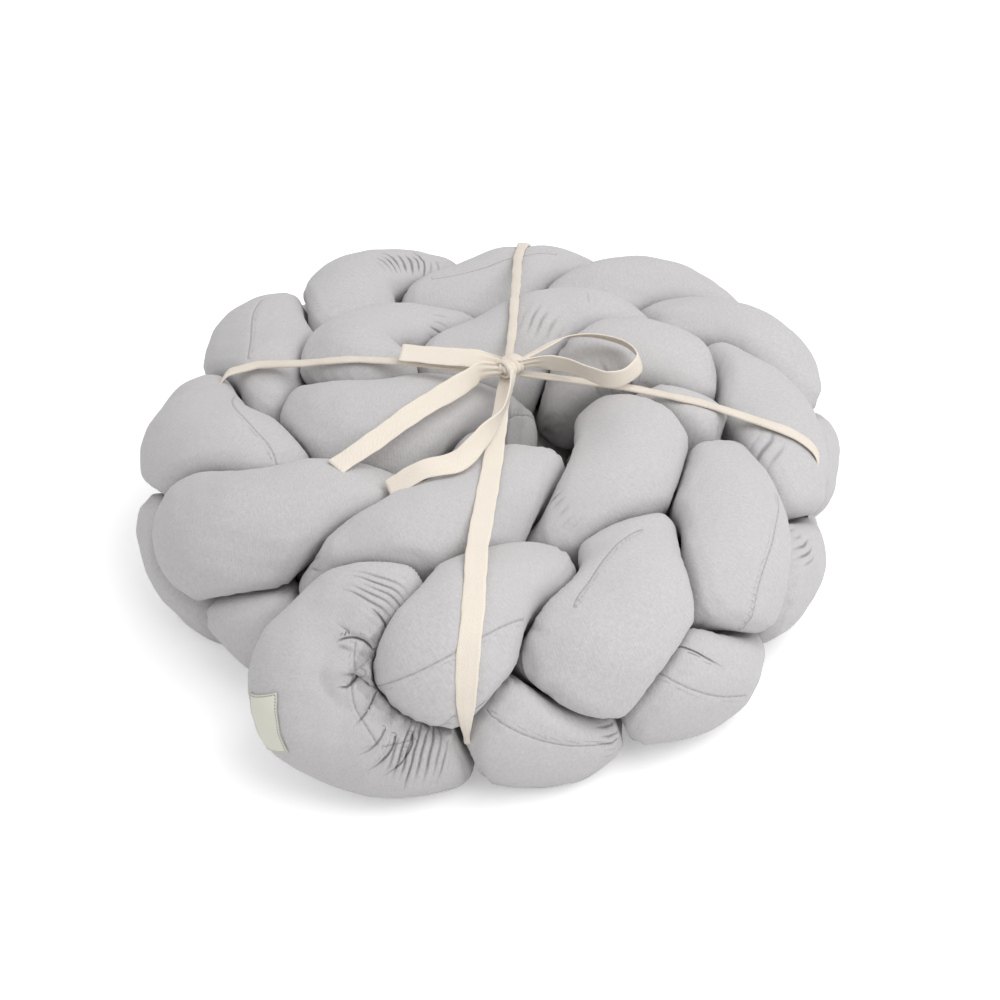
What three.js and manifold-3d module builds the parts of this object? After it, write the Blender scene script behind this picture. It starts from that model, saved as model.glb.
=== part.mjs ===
// A braided crib bumper, rolled up for storage and tied with cotton tape.
//
// Two stuffed jersey tubes make the three strands of a flat braid: a long one is folded in half, and
// its fold is the plump knob at the outer end; a short one starts inside the fold. The braid lies on
// edge in a roll of about two turns, counter-clockwise from the knob to the middle. Two bands of tape
// go round the roll, and a bow with one loop and three cut tails is tied where they cross on top.
//
// Units are millimetres. +Z is up, the roll stands on z = 0, and the origin is under its middle.

import * as THREE from "three";
import { mergeVertices } from "three/addons/utils/BufferGeometryUtils.js";
import Module from "manifold-3d";

const wasm = await Module();
wasm.setup();

// ---- driving dimensions -------------------------------------------------------------------------

const TUBE_RADIUS = 40;      // a stuffed tube where nothing presses on it
const BRAID_SPREAD = 20;     // how far a strand swings out and in from the middle of the braid
const CONTACT_GAP = 4;       // left between the faceted skins of two tubes that press on each other
const LOW_LIFT = 5;          // how much higher the stuffing holds a tube that lies on the floor
const END_ROUNDING = 34;     // length over which a closed tube end rounds off
const PATH_STEP = 5.6;       // spacing of the points along a tube's middle line
const RAYS = 36;             // directions in which the room around a tube is measured
const SIDES = 12;            // faces around a tube
const SECTION_STRIDE = 4;    // path steps between two rings of a tube

const TAPE_WIDTH = 16;
const TAPE_THICKNESS = 1.2;
const SEAT = 0.3;            // gap between two pieces that touch

// One row for each crossing of the braid, from the outer end of the roll to its middle: where the
// crossing stands in plan, how high the braid is there, how far its foot leans out, and how far its
// lowest strand lies ahead along the braid.
const CROSSING_COLUMNS = ["x", "y", "crest", "lean", "trail"];
const CROSSINGS = [
  [-190, -191, 134, 10,   0],
  [-100, -225, 134,  9,  12],
  [ -12, -216, 134,  7,  14],
  [ 100, -181, 128,  7,   0],
  [ 168,  -77, 134,  9, -12],
  [ 198,   50, 134, 13,   0],
  [ 190,  140, 134, 13,   0],
  [ 108,  205, 134,  6,   0],
  [   4,  215, 134,  6,   0],
  [-118,  198, 134,  4,   0],
  [-178,  105, 134,  2,   0],
  [-200,  -22, 134,  0,   0],
  [-146, -110, 142,  0,   0],
  [ -18, -124, 150,  4,   0],
  [ 108,  -45, 154,  4,   0],
  [ 130,   -3, 144,  4,   0],
  [ 114,   65, 160,  4,   0],
  [  34,  107, 164,  4,   0],
  [-109,   68, 156,  4,   0],
  [ -72,  -15, 152,  4,   0],
  [  62,  -13, 148,  4,   0],
  [ 132,  -23, 144,  4,   0],
];

// Phase along the braid: 120 degrees from one crossing to the next, 0 where the braid starts.
const PHASE_PER_CROSSING = 120;
const PHASE_BEFORE_FIRST = -150;   // phase of the table's first row
const PHASE_STEP = 3;
const BRAID_END = 2214;            // phase at which the braid stops, inside the roll
const MIDDLE_STRAND_START = 10;    // the short tube starts this far into the braid
const UPPER_LAG = 120;             // strand that leaves the fold at its top
const LOWER_LAG = 240;             // strand that leaves the fold at its bottom

// The fold of the long tube: half an ellipse beyond the start of the braid.
const FOLD_REACH = 56;
const FOLD_SPREAD = 1.05;
const FOLD_OUT = 10;
const FOLD_POINTS = 25;

// The two bands cross over one point, above and below. Headings are from the +X axis.
const TAPE_CROSSING = { x: 10, y: 9 };
const FRONT_BACK_HEADING = 85;
const LEFT_RIGHT_HEADING = -8;

// The knot sits on the crossing. Its loop and tails are strips of the same tape.
const KNOT_OFFSET = { x: 3, y: -5 };
const KNOT_HALF = { x: 11, y: 9, z: 6 };
// Rows follow each strip from the knot: x, y and z from the middle of the knot, and the roll of the
// strip about its own line, where 0 lies flat and 90 stands on edge.
const STRIPS = {
  bow_loop: [
    [ 10.5, 6,  2, 30],
    [ 28,  23,  4, 33],
    [ 42,  33,  5, 36],
    [ 62,  34,  6, 40],
    [ 82,  28,  5, 48],
    [ 93,  17,  4, 60],
    [ 97,   3,  3, 74],
    [ 93,  -7,  2, 84],
    [ 83, -17,  1, 94],
    [ 72, -19,  1, 100],
    [ 60, -14, 2.5, 104],
    [ 42,  -4,  4, 106],
    [ 11.4,-2.8, 3, 106],
  ],
  bow_tail_upper_left: [
    [-10.7, 3.4, 3, 40],
    [-30,   8, 2.5, 30],
    [-53, 12.5, 1.5, 22],
    [-83,  19, 0.5, 20],
  ],
  bow_tail_lower_left: [
    [-10.5,-5, -0.8, 66],
    [-22,  -4, -1.5, 76],
    [-28, -11, -2, 68],
    [-43, -25, -4, 44],
    [-70, -47, -9, 24],
    [-98, -70, -16, 16],
    [-126, -92, -22.5, -3],
  ],
  bow_tail_lower: [
    [  2,-9.2,  1, 74],
    [  0, -32,  0, 86],
    [ -7, -63, -1, 94],
    [-19, -84, -4, 72],
    [-37,-105, -12, 34],
    [-63,-113, -14.6, 24],
    [-88,-119, -28, 18],
  ],
};
const STRIP_STEPS = 2;      // sections between two rows

// The label on the knob: the way it faces, its shift from the fold's middle, its tilt and its size.
const LABEL = {
  facing: [-0.7, -0.7, -0.15], shift: [4, -3, 4], tilt: 28, width: 28, height: 40, thickness: 1, lift: 1.95,
};
const LABEL_CELLS = [4, 7];

// Moves the middle of the roll's box onto the origin.
const CENTRING = { x: -2.923, y: 4.113 };

const COLOURS = { jersey: 0xc6c4c6, tape: 0xf3eade, label: 0xcfd2c3 };

const jersey = new THREE.MeshStandardMaterial({ color: COLOURS.jersey, roughness: 0.9, metalness: 0 });
const cotton = new THREE.MeshStandardMaterial({ color: COLOURS.tape, roughness: 0.95, metalness: 0 });
const labelCloth = new THREE.MeshStandardMaterial({ color: COLOURS.label, roughness: 0.9, metalness: 0 });

const roll = new THREE.Group();
roll.position.set(CENTRING.x, CENTRING.y, 0);

function addPiece(name, geometry, material) {
  const mesh = new THREE.Mesh(geometry, material.clone());
  mesh.name = name;
  roll.add(mesh);
  return mesh;
}

// ---- the middle lines of the strands ------------------------------------------------------------

// A smooth curve through the rows of the crossing table.
function crossingAt(place) {
  const last = CROSSINGS.length - 1;
  const row = Math.min(Math.max(Math.floor(place), 0), last - 1);
  const t = place - row;
  const [a, b, c, d] = [row - 1, row, row + 1, row + 2].map((k) => CROSSINGS[Math.min(Math.max(k, 0), last)]);
  const values = {};
  CROSSING_COLUMNS.forEach((column, k) => {
    values[column] = 0.5 * (2 * b[k] + (c[k] - a[k]) * t
      + (2 * a[k] - 5 * b[k] + 4 * c[k] - d[k]) * t * t
      + (3 * b[k] - a[k] - 3 * c[k] + d[k]) * t * t * t);
  });
  return values;
}

// The braid at one phase: its middle in plan, its heading, and the direction out of the roll.
function braidAt(phase) {
  const place = (p) => (p - PHASE_BEFORE_FIRST) / PHASE_PER_CROSSING;
  const here = crossingAt(place(phase));
  const before = crossingAt(place(phase - 0.5));
  const after = crossingAt(place(phase + 0.5));
  const along = new THREE.Vector3(after.x - before.x, after.y - before.y, 0).normalize();
  const out = new THREE.Vector3(along.y, -along.x, 0);
  return { ...here, along, out };
}

// A strand climbs over the outside of the braid, crosses its crest, and comes down on the inside.
function strandPoint(phase, lag) {
  const braid = braidAt(phase);
  const turn = THREE.MathUtils.degToRad(phase + lag);
  const swing = BRAID_SPREAD * Math.sin(2 * turn) - braid.lean * Math.sin(turn);
  const depth = (1 - Math.sin(turn)) / 2;
  const lift = (braid.crest / 2 - TUBE_RADIUS + 2) * Math.sin(turn) + LOW_LIFT * depth;
  const point = new THREE.Vector3(braid.x, braid.y, braid.crest / 2 + lift);
  return point.addScaledVector(braid.out, swing).addScaledVector(braid.along, braid.trail * depth);
}

function strandPath(start, lag) {
  const points = [];
  for (let phase = start; phase <= BRAID_END; phase += PHASE_STEP) points.push(strandPoint(phase, lag));
  return points;
}

// The fold runs from the start of the upper strand round to the start of the lower one.
function foldPath(top, bottom) {
  const { along, out } = braidAt(0);
  const middle = top.clone().add(bottom).multiplyScalar(0.5);
  const half = top.clone().sub(bottom).multiplyScalar(0.5);
  const points = [];
  for (let k = 1; k < FOLD_POINTS - 1; k += 1) {
    const turn = (Math.PI * k) / (FOLD_POINTS - 1);
    points.push(middle.clone()
      .addScaledVector(half, FOLD_SPREAD * Math.cos(turn))
      .addScaledVector(along, -FOLD_REACH * Math.sin(turn))
      .addScaledVector(out, FOLD_OUT * Math.sin(turn)));
  }
  return points;
}

function evenlySpaced(points, step) {
  const travelled = [0];
  for (let k = 1; k < points.length; k += 1) {
    travelled.push(travelled[k - 1] + points[k].distanceTo(points[k - 1]));
  }
  const total = travelled[travelled.length - 1];
  const count = Math.round(total / step);
  const even = [];
  let k = 0;
  for (let n = 0; n <= count; n += 1) {
    const wanted = (total * n) / count;
    while (k < points.length - 2 && travelled[k + 1] < wanted) k += 1;
    const share = (wanted - travelled[k]) / (travelled[k + 1] - travelled[k]);
    even.push(points[k].clone().lerp(points[k + 1], share));
  }
  return even;
}

function softened(points, rounds) {
  let soft = points;
  for (let n = 0; n < rounds; n += 1) {
    soft = soft.map((point, k) => {
      if (k === 0 || k === soft.length - 1) return point;
      return point.clone().multiplyScalar(2).add(soft[k - 1]).add(soft[k + 1]).multiplyScalar(0.25);
    });
  }
  return soft;
}

const upper = strandPath(0, UPPER_LAG);
const lower = strandPath(0, LOWER_LAG);
const foldedLine = [...upper].reverse().concat(foldPath(upper[0], lower[0]), lower);
const TUBES = [
  { name: "strand_folded", path: softened(evenlySpaced(foldedLine, PATH_STEP), 6) },
  { name: "strand_middle", path: softened(evenlySpaced(strandPath(MIDDLE_STRAND_START, 0), PATH_STEP), 2) },
];

// ---- the stuffed tubes --------------------------------------------------------------------------

const REACH = 125;            // neighbours further away than this never touch
const SELF_SKIP = 2;          // points next to a section on its own tube
const SELF_CONTACT = 100;     // beyond this along its own length a tube touches itself
const SQUEEZE = 7;            // how sharply a tube flattens against its neighbour
const LARGEST_SWELL = 1.45;

// Directions across a tube, carried along its middle line without twist.
function crossDirections(path) {
  const tangents = path.map((point, k) => {
    const next = path[Math.min(k + 1, path.length - 1)];
    const last = path[Math.max(k - 1, 0)];
    return next.clone().sub(last).normalize();
  });
  const side = new THREE.Vector3().crossVectors(tangents[0], new THREE.Vector3(0, 0, 1)).normalize();
  return tangents.map((tangent) => {
    side.addScaledVector(tangent, -side.dot(tangent)).normalize();
    return { side: side.clone(), over: new THREE.Vector3().crossVectors(tangent, side) };
  });
}

// How far the tube may reach from its middle line in each direction before it meets a neighbour
// half-way, and before it meets the floor.
function roomAround(tube, index, directions) {
  const centre = tube.path[index];
  const toSides = directions.map(() => Infinity);
  for (const other of TUBES) {
    other.path.forEach((point, k) => {
      const apart = Math.abs(k - index);
      if (other === tube && apart <= SELF_SKIP) return;
      const away = point.clone().sub(centre);
      const distance = away.length();
      if (distance > REACH) return;
      const sameStretch = other === tube && apart * PATH_STEP < SELF_CONTACT;
      const half = distance / 2 - (sameStretch ? 0 : CONTACT_GAP / 2);
      directions.forEach((direction, n) => {
        const facing = direction.dot(away) / distance;
        if (facing > 0.001) toSides[n] = Math.min(toSides[n], half / facing);
      });
    });
  }
  const toFloor = directions.map((direction) => (direction.z < -0.001 ? centre.z / -direction.z : Infinity));
  return { toSides, toFloor };
}

// The stuffing keeps its section area: where neighbours and floor press, the tube swells elsewhere.
function stuffedRadii({ toSides, toFloor }) {
  const radiiFor = (free) => toSides.map((room, n) => {
    const eased = free / (1 + (free / room) ** SQUEEZE) ** (1 / SQUEEZE);
    return Math.min(eased, toFloor[n]);
  });
  const area = (radii) => radii.reduce((sum, r) => sum + r * r, 0) * (Math.PI / RAYS);
  let low = 0.6 * TUBE_RADIUS;
  let high = LARGEST_SWELL * TUBE_RADIUS;
  for (let n = 0; n < 24; n += 1) {
    const middle = (low + high) / 2;
    if (area(radiiFor(middle)) > Math.PI * TUBE_RADIUS * TUBE_RADIUS) high = middle;
    else low = middle;
  }
  return radiiFor((low + high) / 2);
}

// Rings stand closer together at the rounded ends.
function ringPlaces(count) {
  const nearEnd = [1, 3, 6];
  const places = [...nearEnd];
  for (let k = nearEnd[2] + SECTION_STRIDE; k < count - 1 - nearEnd[2] - SECTION_STRIDE / 2; k += SECTION_STRIDE) {
    places.push(k);
  }
  return places.concat([...nearEnd].reverse().map((k) => count - 1 - k));
}

// growth thickens the skin, for cutting the room that a neighbour needs.
function tubeGeometry(tube, growth) {
  const frames = crossDirections(tube.path);
  const last = tube.path.length - 1;
  const positions = [tube.path[0], tube.path[last]].flatMap((p) => [p.x, p.y, p.z]);
  const places = ringPlaces(tube.path.length);
  for (const place of places) {
    const { side, over } = frames[place];
    const directions = Array.from({ length: RAYS }, (_, n) => {
      const turn = (2 * Math.PI * n) / RAYS;
      return side.clone().multiplyScalar(Math.cos(turn)).addScaledVector(over, Math.sin(turn));
    });
    const radii = stuffedRadii(roomAround(tube, place, directions));
    const fromEnd = Math.min(place, last - place) * PATH_STEP;
    const rest = Math.max(1 - fromEnd / END_ROUNDING, 0);
    const closing = Math.sqrt(1 - rest * rest);
    for (let n = 0; n < RAYS; n += RAYS / SIDES) {
      const point = tube.path[place].clone().addScaledVector(directions[n], radii[n] * closing + growth);
      positions.push(point.x, point.y, point.z);
    }
  }
  const index = [];
  const at = (ring, k) => 2 + ring * SIDES + (k % SIDES);
  for (let k = 0; k < SIDES; k += 1) {
    index.push(0, at(0, k + 1), at(0, k));
    index.push(1, at(places.length - 1, k), at(places.length - 1, k + 1));
  }
  for (let ring = 0; ring < places.length - 1; ring += 1) {
    for (let k = 0; k < SIDES; k += 1) {
      index.push(at(ring, k), at(ring, k + 1), at(ring + 1, k + 1));
      index.push(at(ring, k), at(ring + 1, k + 1), at(ring + 1, k));
    }
  }
  const geometry = new THREE.BufferGeometry();
  geometry.setAttribute("position", new THREE.Float32BufferAttribute(positions, 3));
  geometry.setIndex(index);
  return geometry;
}

// ---- cutting and reading solids -----------------------------------------------------------------

function toSolid(geometry) {
  const bare = geometry.clone();
  bare.deleteAttribute("normal");
  bare.deleteAttribute("uv");
  const merged = mergeVertices(bare, 0.0001);
  const vertProperties = new Float32Array(merged.attributes.position.array);
  const triVerts = new Uint32Array(merged.index.array);
  return new wasm.Manifold(new wasm.Mesh({ numProp: 3, vertProperties, triVerts }));
}

function toGeometry(solid) {
  const mesh = solid.getMesh();
  const geometry = new THREE.BufferGeometry();
  geometry.setAttribute("position", new THREE.BufferAttribute(mesh.vertProperties, 3));
  geometry.setIndex(new THREE.BufferAttribute(mesh.triVerts, 1));
  return geometry;
}

// ---- the bands of tape --------------------------------------------------------------------------

const BAND_LENGTH = 700;                       // longer than the roll is wide
const GROOVE_WIDTH = TAPE_WIDTH + 2 * SEAT;
const GROOVE_DEPTH = TAPE_THICKNESS + SEAT;
const IDLE_BEND = 0.08;                        // a taut line bends less than this at an idle point
const HUMP_RUN = 8;                            // over which the upper band climbs onto the lower one

// A box that lies along a band, from the floor up to a height.
function floorBox(heading, length, width, height) {
  const box = new THREE.BoxGeometry(length, width, height + 1);
  box.rotateZ(THREE.MathUtils.degToRad(heading));
  box.translate(TAPE_CROSSING.x, TAPE_CROSSING.y, (height - 1) / 2);
  return toSolid(box);
}

// The outline of some pieces under a band, as points along it and above the floor.
function outlineUnder(heading, meshes) {
  const turn = THREE.MathUtils.degToRad(heading);
  const ahead = new THREE.Vector3(Math.cos(turn), Math.sin(turn), 0);
  const across = new THREE.Vector3(-Math.sin(turn), Math.cos(turn), 0);
  const start = new THREE.Vector3(TAPE_CROSSING.x, TAPE_CROSSING.y, 0);
  const reach = TAPE_WIDTH / 2 + SEAT;
  const points = [];
  const corner = new THREE.Vector3();
  for (const mesh of meshes) {
    const position = mesh.geometry.attributes.position;
    const corners = mesh.geometry.index.array;
    for (let n = 0; n < corners.length; n += 3) {
      const local = [0, 1, 2].map((k) => {
        corner.fromBufferAttribute(position, corners[n + k]).sub(start);
        return { s: corner.dot(ahead), d: corner.dot(across), z: corner.z };
      });
      if (local.every((p) => p.d > reach) || local.every((p) => p.d < -reach)) continue;
      local.forEach((p, k) => {
        const q = local[(k + 1) % 3];
        if (Math.abs(p.d) <= reach) points.push([p.s, p.z]);
        for (const edge of [-reach, reach]) {
          if ((p.d - edge) * (q.d - edge) < 0) {
            const t = (edge - p.d) / (q.d - p.d);
            points.push([p.s + (q.s - p.s) * t, p.z + (q.z - p.z) * t]);
          }
        }
      });
    }
  }
  return points;
}

// The taut line round some points, counter-clockwise.
function tautLine(points) {
  const sorted = [...points].sort((p, q) => p[0] - q[0] || p[1] - q[1]);
  const turnsLeft = (a, b, c) => (b[0] - a[0]) * (c[1] - a[1]) - (b[1] - a[1]) * (c[0] - a[0]) > 1e-6;
  const half = (list) => {
    const line = [];
    for (const point of list) {
      while (line.length > 1 && !turnsLeft(line[line.length - 2], line[line.length - 1], point)) line.pop();
      line.push(point);
    }
    return line.slice(0, -1);
  };
  return withoutIdlePoints(half(sorted).concat(half([...sorted].reverse())));
}

// Drops the points that a line hardly bends at.
function withoutIdlePoints(line) {
  const kept = [...line];
  for (let k = kept.length - 1; k >= 0; k -= 1) {
    const before = kept[(k + kept.length - 1) % kept.length];
    const after = kept[(k + 1) % kept.length];
    const run = Math.hypot(after[0] - before[0], after[1] - before[1]);
    const height = Math.abs((kept[k][0] - before[0]) * (after[1] - before[1])
      - (kept[k][1] - before[1]) * (after[0] - before[0])) / run;
    if (height < IDLE_BEND) kept.splice(k, 1);
  }
  return kept;
}

function pushedOut(line, distance) {
  const count = line.length;
  const normal = (p, q) => {
    const run = Math.hypot(q[0] - p[0], q[1] - p[1]);
    return [(q[1] - p[1]) / run, (p[0] - q[0]) / run];
  };
  return line.map((point, k) => {
    const a = normal(line[(k + count - 1) % count], point);
    const b = normal(point, line[(k + 1) % count]);
    const scale = distance / (1 + a[0] * b[0] + a[1] * b[1]);
    return [point[0] + (a[0] + b[0]) * scale, point[1] + (a[1] + b[1]) * scale];
  });
}

// On the floor the second band climbs over the first one.
function withHump(line) {
  const low = Math.min(...line.map((p) => p[1]));
  const corners = line.filter((p) => p[1] < low + 0.01).sort((p, q) => p[0] - q[0]);
  const leftCorner = line.indexOf(corners[0]);
  const half = TAPE_WIDTH / 2 + 2;
  const hump = [
    [-half - HUMP_RUN, low],
    [-half, low + GROOVE_DEPTH],
    [half, low + GROOVE_DEPTH],
    [half + HUMP_RUN, low],
  ];
  return [...line.slice(0, leftCorner + 1), ...hump, ...line.slice(leftCorner + 1)];
}

function bandGeometry(heading, meshes, climbs) {
  const taut = tautLine(outlineUnder(heading, meshes).filter((p) => p[1] > GROOVE_DEPTH - 0.05));
  let inner = pushedOut(taut, SEAT);
  let outer = pushedOut(taut, SEAT + TAPE_THICKNESS);
  if (climbs) {
    inner = withHump(inner);
    outer = withHump(outer);
  }
  const shape = new THREE.Shape(outer.map(([s, z]) => new THREE.Vector2(s, z)));
  shape.holes.push(new THREE.Path(inner.map(([s, z]) => new THREE.Vector2(s, z))));
  const geometry = new THREE.ExtrudeGeometry(shape, { depth: TAPE_WIDTH, bevelEnabled: false });
  geometry.translate(0, 0, -TAPE_WIDTH / 2);
  geometry.rotateX(Math.PI / 2);
  geometry.rotateZ(THREE.MathUtils.degToRad(heading));
  geometry.translate(TAPE_CROSSING.x, TAPE_CROSSING.y, 0);
  return toGeometry(toSolid(geometry));
}

// ---- build: tubes with a groove for each band in their flat undersides --------------------------

const grooves = [
  floorBox(FRONT_BACK_HEADING, BAND_LENGTH, GROOVE_WIDTH, GROOVE_DEPTH),
  floorBox(LEFT_RIGHT_HEADING, BAND_LENGTH, GROOVE_WIDTH, GROOVE_DEPTH),
  floorBox(LEFT_RIGHT_HEADING, TAPE_WIDTH + 2 * (HUMP_RUN + 4), GROOVE_WIDTH, 2 * GROOVE_DEPTH + SEAT),
];
const [folded, middle] = TUBES;
const foldedSolid = toSolid(tubeGeometry(folded, 0));
const middleSolid = toSolid(tubeGeometry(middle, 0)).subtract(toSolid(tubeGeometry(folded, SEAT)));
const strands = [[folded, foldedSolid], [middle, middleSolid]].map(([tube, whole]) => {
  const grooved = grooves.reduce((solid, groove) => solid.subtract(groove), whole);
  return addPiece(tube.name, toGeometry(grooved), jersey);
});

const frontBack = addPiece("tape_front_back", bandGeometry(FRONT_BACK_HEADING, strands, false), cotton);
const under = [...strands, frontBack];
const leftRight = addPiece("tape_left_right", bandGeometry(LEFT_RIGHT_HEADING, under, true), cotton);

// ---- the bow ------------------------------------------------------------------------------------

const tapeTop = Math.max(...outlineUnder(FRONT_BACK_HEADING, [leftRight]).map((p) => p[1]));
const knotMiddle = new THREE.Vector3(
  TAPE_CROSSING.x + KNOT_OFFSET.x, TAPE_CROSSING.y + KNOT_OFFSET.y, tapeTop + SEAT + KNOT_HALF.z);
const knot = new THREE.SphereGeometry(1, 12, 6);
knot.rotateX(Math.PI / 2);
knot.scale(KNOT_HALF.x, KNOT_HALF.y, KNOT_HALF.z);
knot.translate(knotMiddle.x, knotMiddle.y, knotMiddle.z);
addPiece("bow_knot", toGeometry(toSolid(knot)), cotton);

// A strip of tape along a smooth curve through its rows.
function stripGeometry(rows) {
  const route = new THREE.CatmullRomCurve3(rows.map(([x, y, z]) => new THREE.Vector3(x, y, z)));
  const count = (rows.length - 1) * STRIP_STEPS;
  const up = new THREE.Vector3(0, 0, 1);
  const positions = [];
  for (let n = 0; n <= count; n += 1) {
    const place = n / count;
    const row = Math.min(Math.floor(place * (rows.length - 1)), rows.length - 2);
    const share = place * (rows.length - 1) - row;
    const roll = THREE.MathUtils.degToRad(rows[row][3] + (rows[row + 1][3] - rows[row][3]) * share);
    const tangent = route.getTangent(place);
    const side = new THREE.Vector3().crossVectors(tangent, up).normalize();
    const over = new THREE.Vector3().crossVectors(side, tangent);
    const across = side.clone().multiplyScalar(Math.cos(roll)).addScaledVector(over, Math.sin(roll));
    const through = new THREE.Vector3().crossVectors(tangent, across);
    for (const [a, b] of [[-1, -1], [1, -1], [1, 1], [-1, 1]]) {
      const point = route.getPoint(place).add(knotMiddle)
        .addScaledVector(across, (a * TAPE_WIDTH) / 2)
        .addScaledVector(through, (b * TAPE_THICKNESS) / 2);
      positions.push(point.x, point.y, point.z);
    }
  }
  const index = [];
  for (let n = 0; n < count; n += 1) {
    for (let k = 0; k < 4; k += 1) {
      const [a, b] = [4 * n + k, 4 * n + ((k + 1) % 4)];
      index.push(a, b, b + 4, a, b + 4, a + 4);
    }
  }
  const end = 4 * count;
  index.push(0, 2, 1, 0, 3, 2, end, end + 1, end + 2, end, end + 2, end + 3);
  const geometry = new THREE.BufferGeometry();
  geometry.setAttribute("position", new THREE.Float32BufferAttribute(positions, 3));
  geometry.setIndex(index);
  return geometry;
}

for (const [name, rows] of Object.entries(STRIPS)) addPiece(name, stripGeometry(rows), cotton);

// ---- the label ----------------------------------------------------------------------------------

// A thin patch laid on the knob: each point of its grid is dropped onto the tube.
function labelGeometry(tube) {
  const { along, out } = braidAt(0);
  const middle = upper[0].clone().add(lower[0]).multiplyScalar(0.5)
    .addScaledVector(along, -FOLD_REACH).addScaledVector(out, FOLD_OUT);
  middle.add(new THREE.Vector3(...LABEL.shift));
  const facing = new THREE.Vector3(...LABEL.facing).normalize();
  const right = new THREE.Vector3(-facing.y, facing.x, 0).normalize();
  const up = new THREE.Vector3().crossVectors(facing, right);
  const turn = THREE.MathUtils.degToRad(LABEL.tilt);
  const short = right.clone().multiplyScalar(Math.cos(turn)).addScaledVector(up, Math.sin(turn));
  const long = up.clone().multiplyScalar(Math.cos(turn)).addScaledVector(right, -Math.sin(turn));
  const ray = new THREE.Raycaster();
  const [across, down] = LABEL_CELLS;
  const positions = [];
  for (const height of [LABEL.lift, LABEL.lift + LABEL.thickness]) {
    for (let j = 0; j <= down; j += 1) {
      for (let i = 0; i <= across; i += 1) {
        const from = middle.clone().addScaledVector(facing, 3 * TUBE_RADIUS)
          .addScaledVector(short, (i / across - 0.5) * LABEL.width)
          .addScaledVector(long, (j / down - 0.5) * LABEL.height);
        ray.set(from, facing.clone().negate());
        const hit = ray.intersectObject(tube)[0].point.addScaledVector(facing, height);
        positions.push(hit.x, hit.y, hit.z);
      }
    }
  }
  const row = across + 1;
  const layer = row * (down + 1);
  const index = [];
  for (let j = 0; j < down; j += 1) {
    for (let i = 0; i < across; i += 1) {
      const a = j * row + i;
      index.push(a, a + row, a + row + 1, a, a + row + 1, a + 1);
      index.push(layer + a, layer + a + row + 1, layer + a + row, layer + a, layer + a + 1, layer + a + row + 1);
    }
  }
  const rim = [];
  for (let i = 0; i < across; i += 1) rim.push(i);
  for (let j = 0; j < down; j += 1) rim.push(j * row + across);
  for (let i = across; i > 0; i -= 1) rim.push(down * row + i);
  for (let j = down; j > 0; j -= 1) rim.push(j * row);
  rim.forEach((a, k) => {
    const b = rim[(k + 1) % rim.length];
    index.push(a, b, layer + b, a, layer + b, layer + a);
  });
  const geometry = new THREE.BufferGeometry();
  geometry.setAttribute("position", new THREE.Float32BufferAttribute(positions, 3));
  geometry.setIndex(index);
  return geometry;
}

addPiece("label", labelGeometry(strands[0]), labelCloth);

export default roll;
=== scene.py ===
# %% [markdown]
# # A braided crib bumper, rolled up and tied
# Three stuffed jersey strands are plaited, the plait is rolled up on its edge, and two bands of flat
# cotton tape go round the roll and end in a bow. Everything here is worked out from a table of the
# plait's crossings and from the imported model, so that the soft surfaces lie where the solids are.

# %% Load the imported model
import math

import bpy
import numpy as np
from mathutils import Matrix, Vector
from mathutils.bvhtree import BVHTree


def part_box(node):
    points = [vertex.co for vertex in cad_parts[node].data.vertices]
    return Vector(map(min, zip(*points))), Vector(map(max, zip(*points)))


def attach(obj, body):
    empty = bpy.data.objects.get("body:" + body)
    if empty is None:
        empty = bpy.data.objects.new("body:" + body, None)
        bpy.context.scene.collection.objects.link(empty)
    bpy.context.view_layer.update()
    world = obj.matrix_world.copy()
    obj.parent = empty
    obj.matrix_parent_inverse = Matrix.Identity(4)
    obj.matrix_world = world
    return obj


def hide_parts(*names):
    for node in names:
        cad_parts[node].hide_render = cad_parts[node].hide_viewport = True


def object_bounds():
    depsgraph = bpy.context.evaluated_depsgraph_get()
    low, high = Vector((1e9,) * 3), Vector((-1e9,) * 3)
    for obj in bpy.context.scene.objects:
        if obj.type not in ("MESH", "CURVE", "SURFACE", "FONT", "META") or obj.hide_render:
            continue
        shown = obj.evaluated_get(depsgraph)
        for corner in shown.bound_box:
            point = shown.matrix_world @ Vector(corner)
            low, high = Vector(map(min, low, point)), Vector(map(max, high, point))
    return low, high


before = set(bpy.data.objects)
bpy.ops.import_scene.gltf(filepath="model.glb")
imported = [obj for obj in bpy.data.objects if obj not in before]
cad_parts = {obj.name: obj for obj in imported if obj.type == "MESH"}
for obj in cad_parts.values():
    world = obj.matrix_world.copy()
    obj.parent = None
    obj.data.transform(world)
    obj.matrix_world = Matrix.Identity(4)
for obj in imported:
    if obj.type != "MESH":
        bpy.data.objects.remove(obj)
cad_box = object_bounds()
MM = 0.001
low, high = (np.array(corner) for corner in cad_box)
print("the packed model is", np.round((high - low) / MM), "mm")

# %% [markdown]
# ## The plait's route
# A flat plait of three strands repeats itself: every strand swings across it in a figure of eight,
# a third of a turn behind the one before. So one short table says where each crossing stands, how
# high the plait is there, how far its foot leans out and how far its lowest strand lies ahead, and a
# sine and a double sine do the rest.
# That is easier to adjust by hand than three long lists of points.

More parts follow.
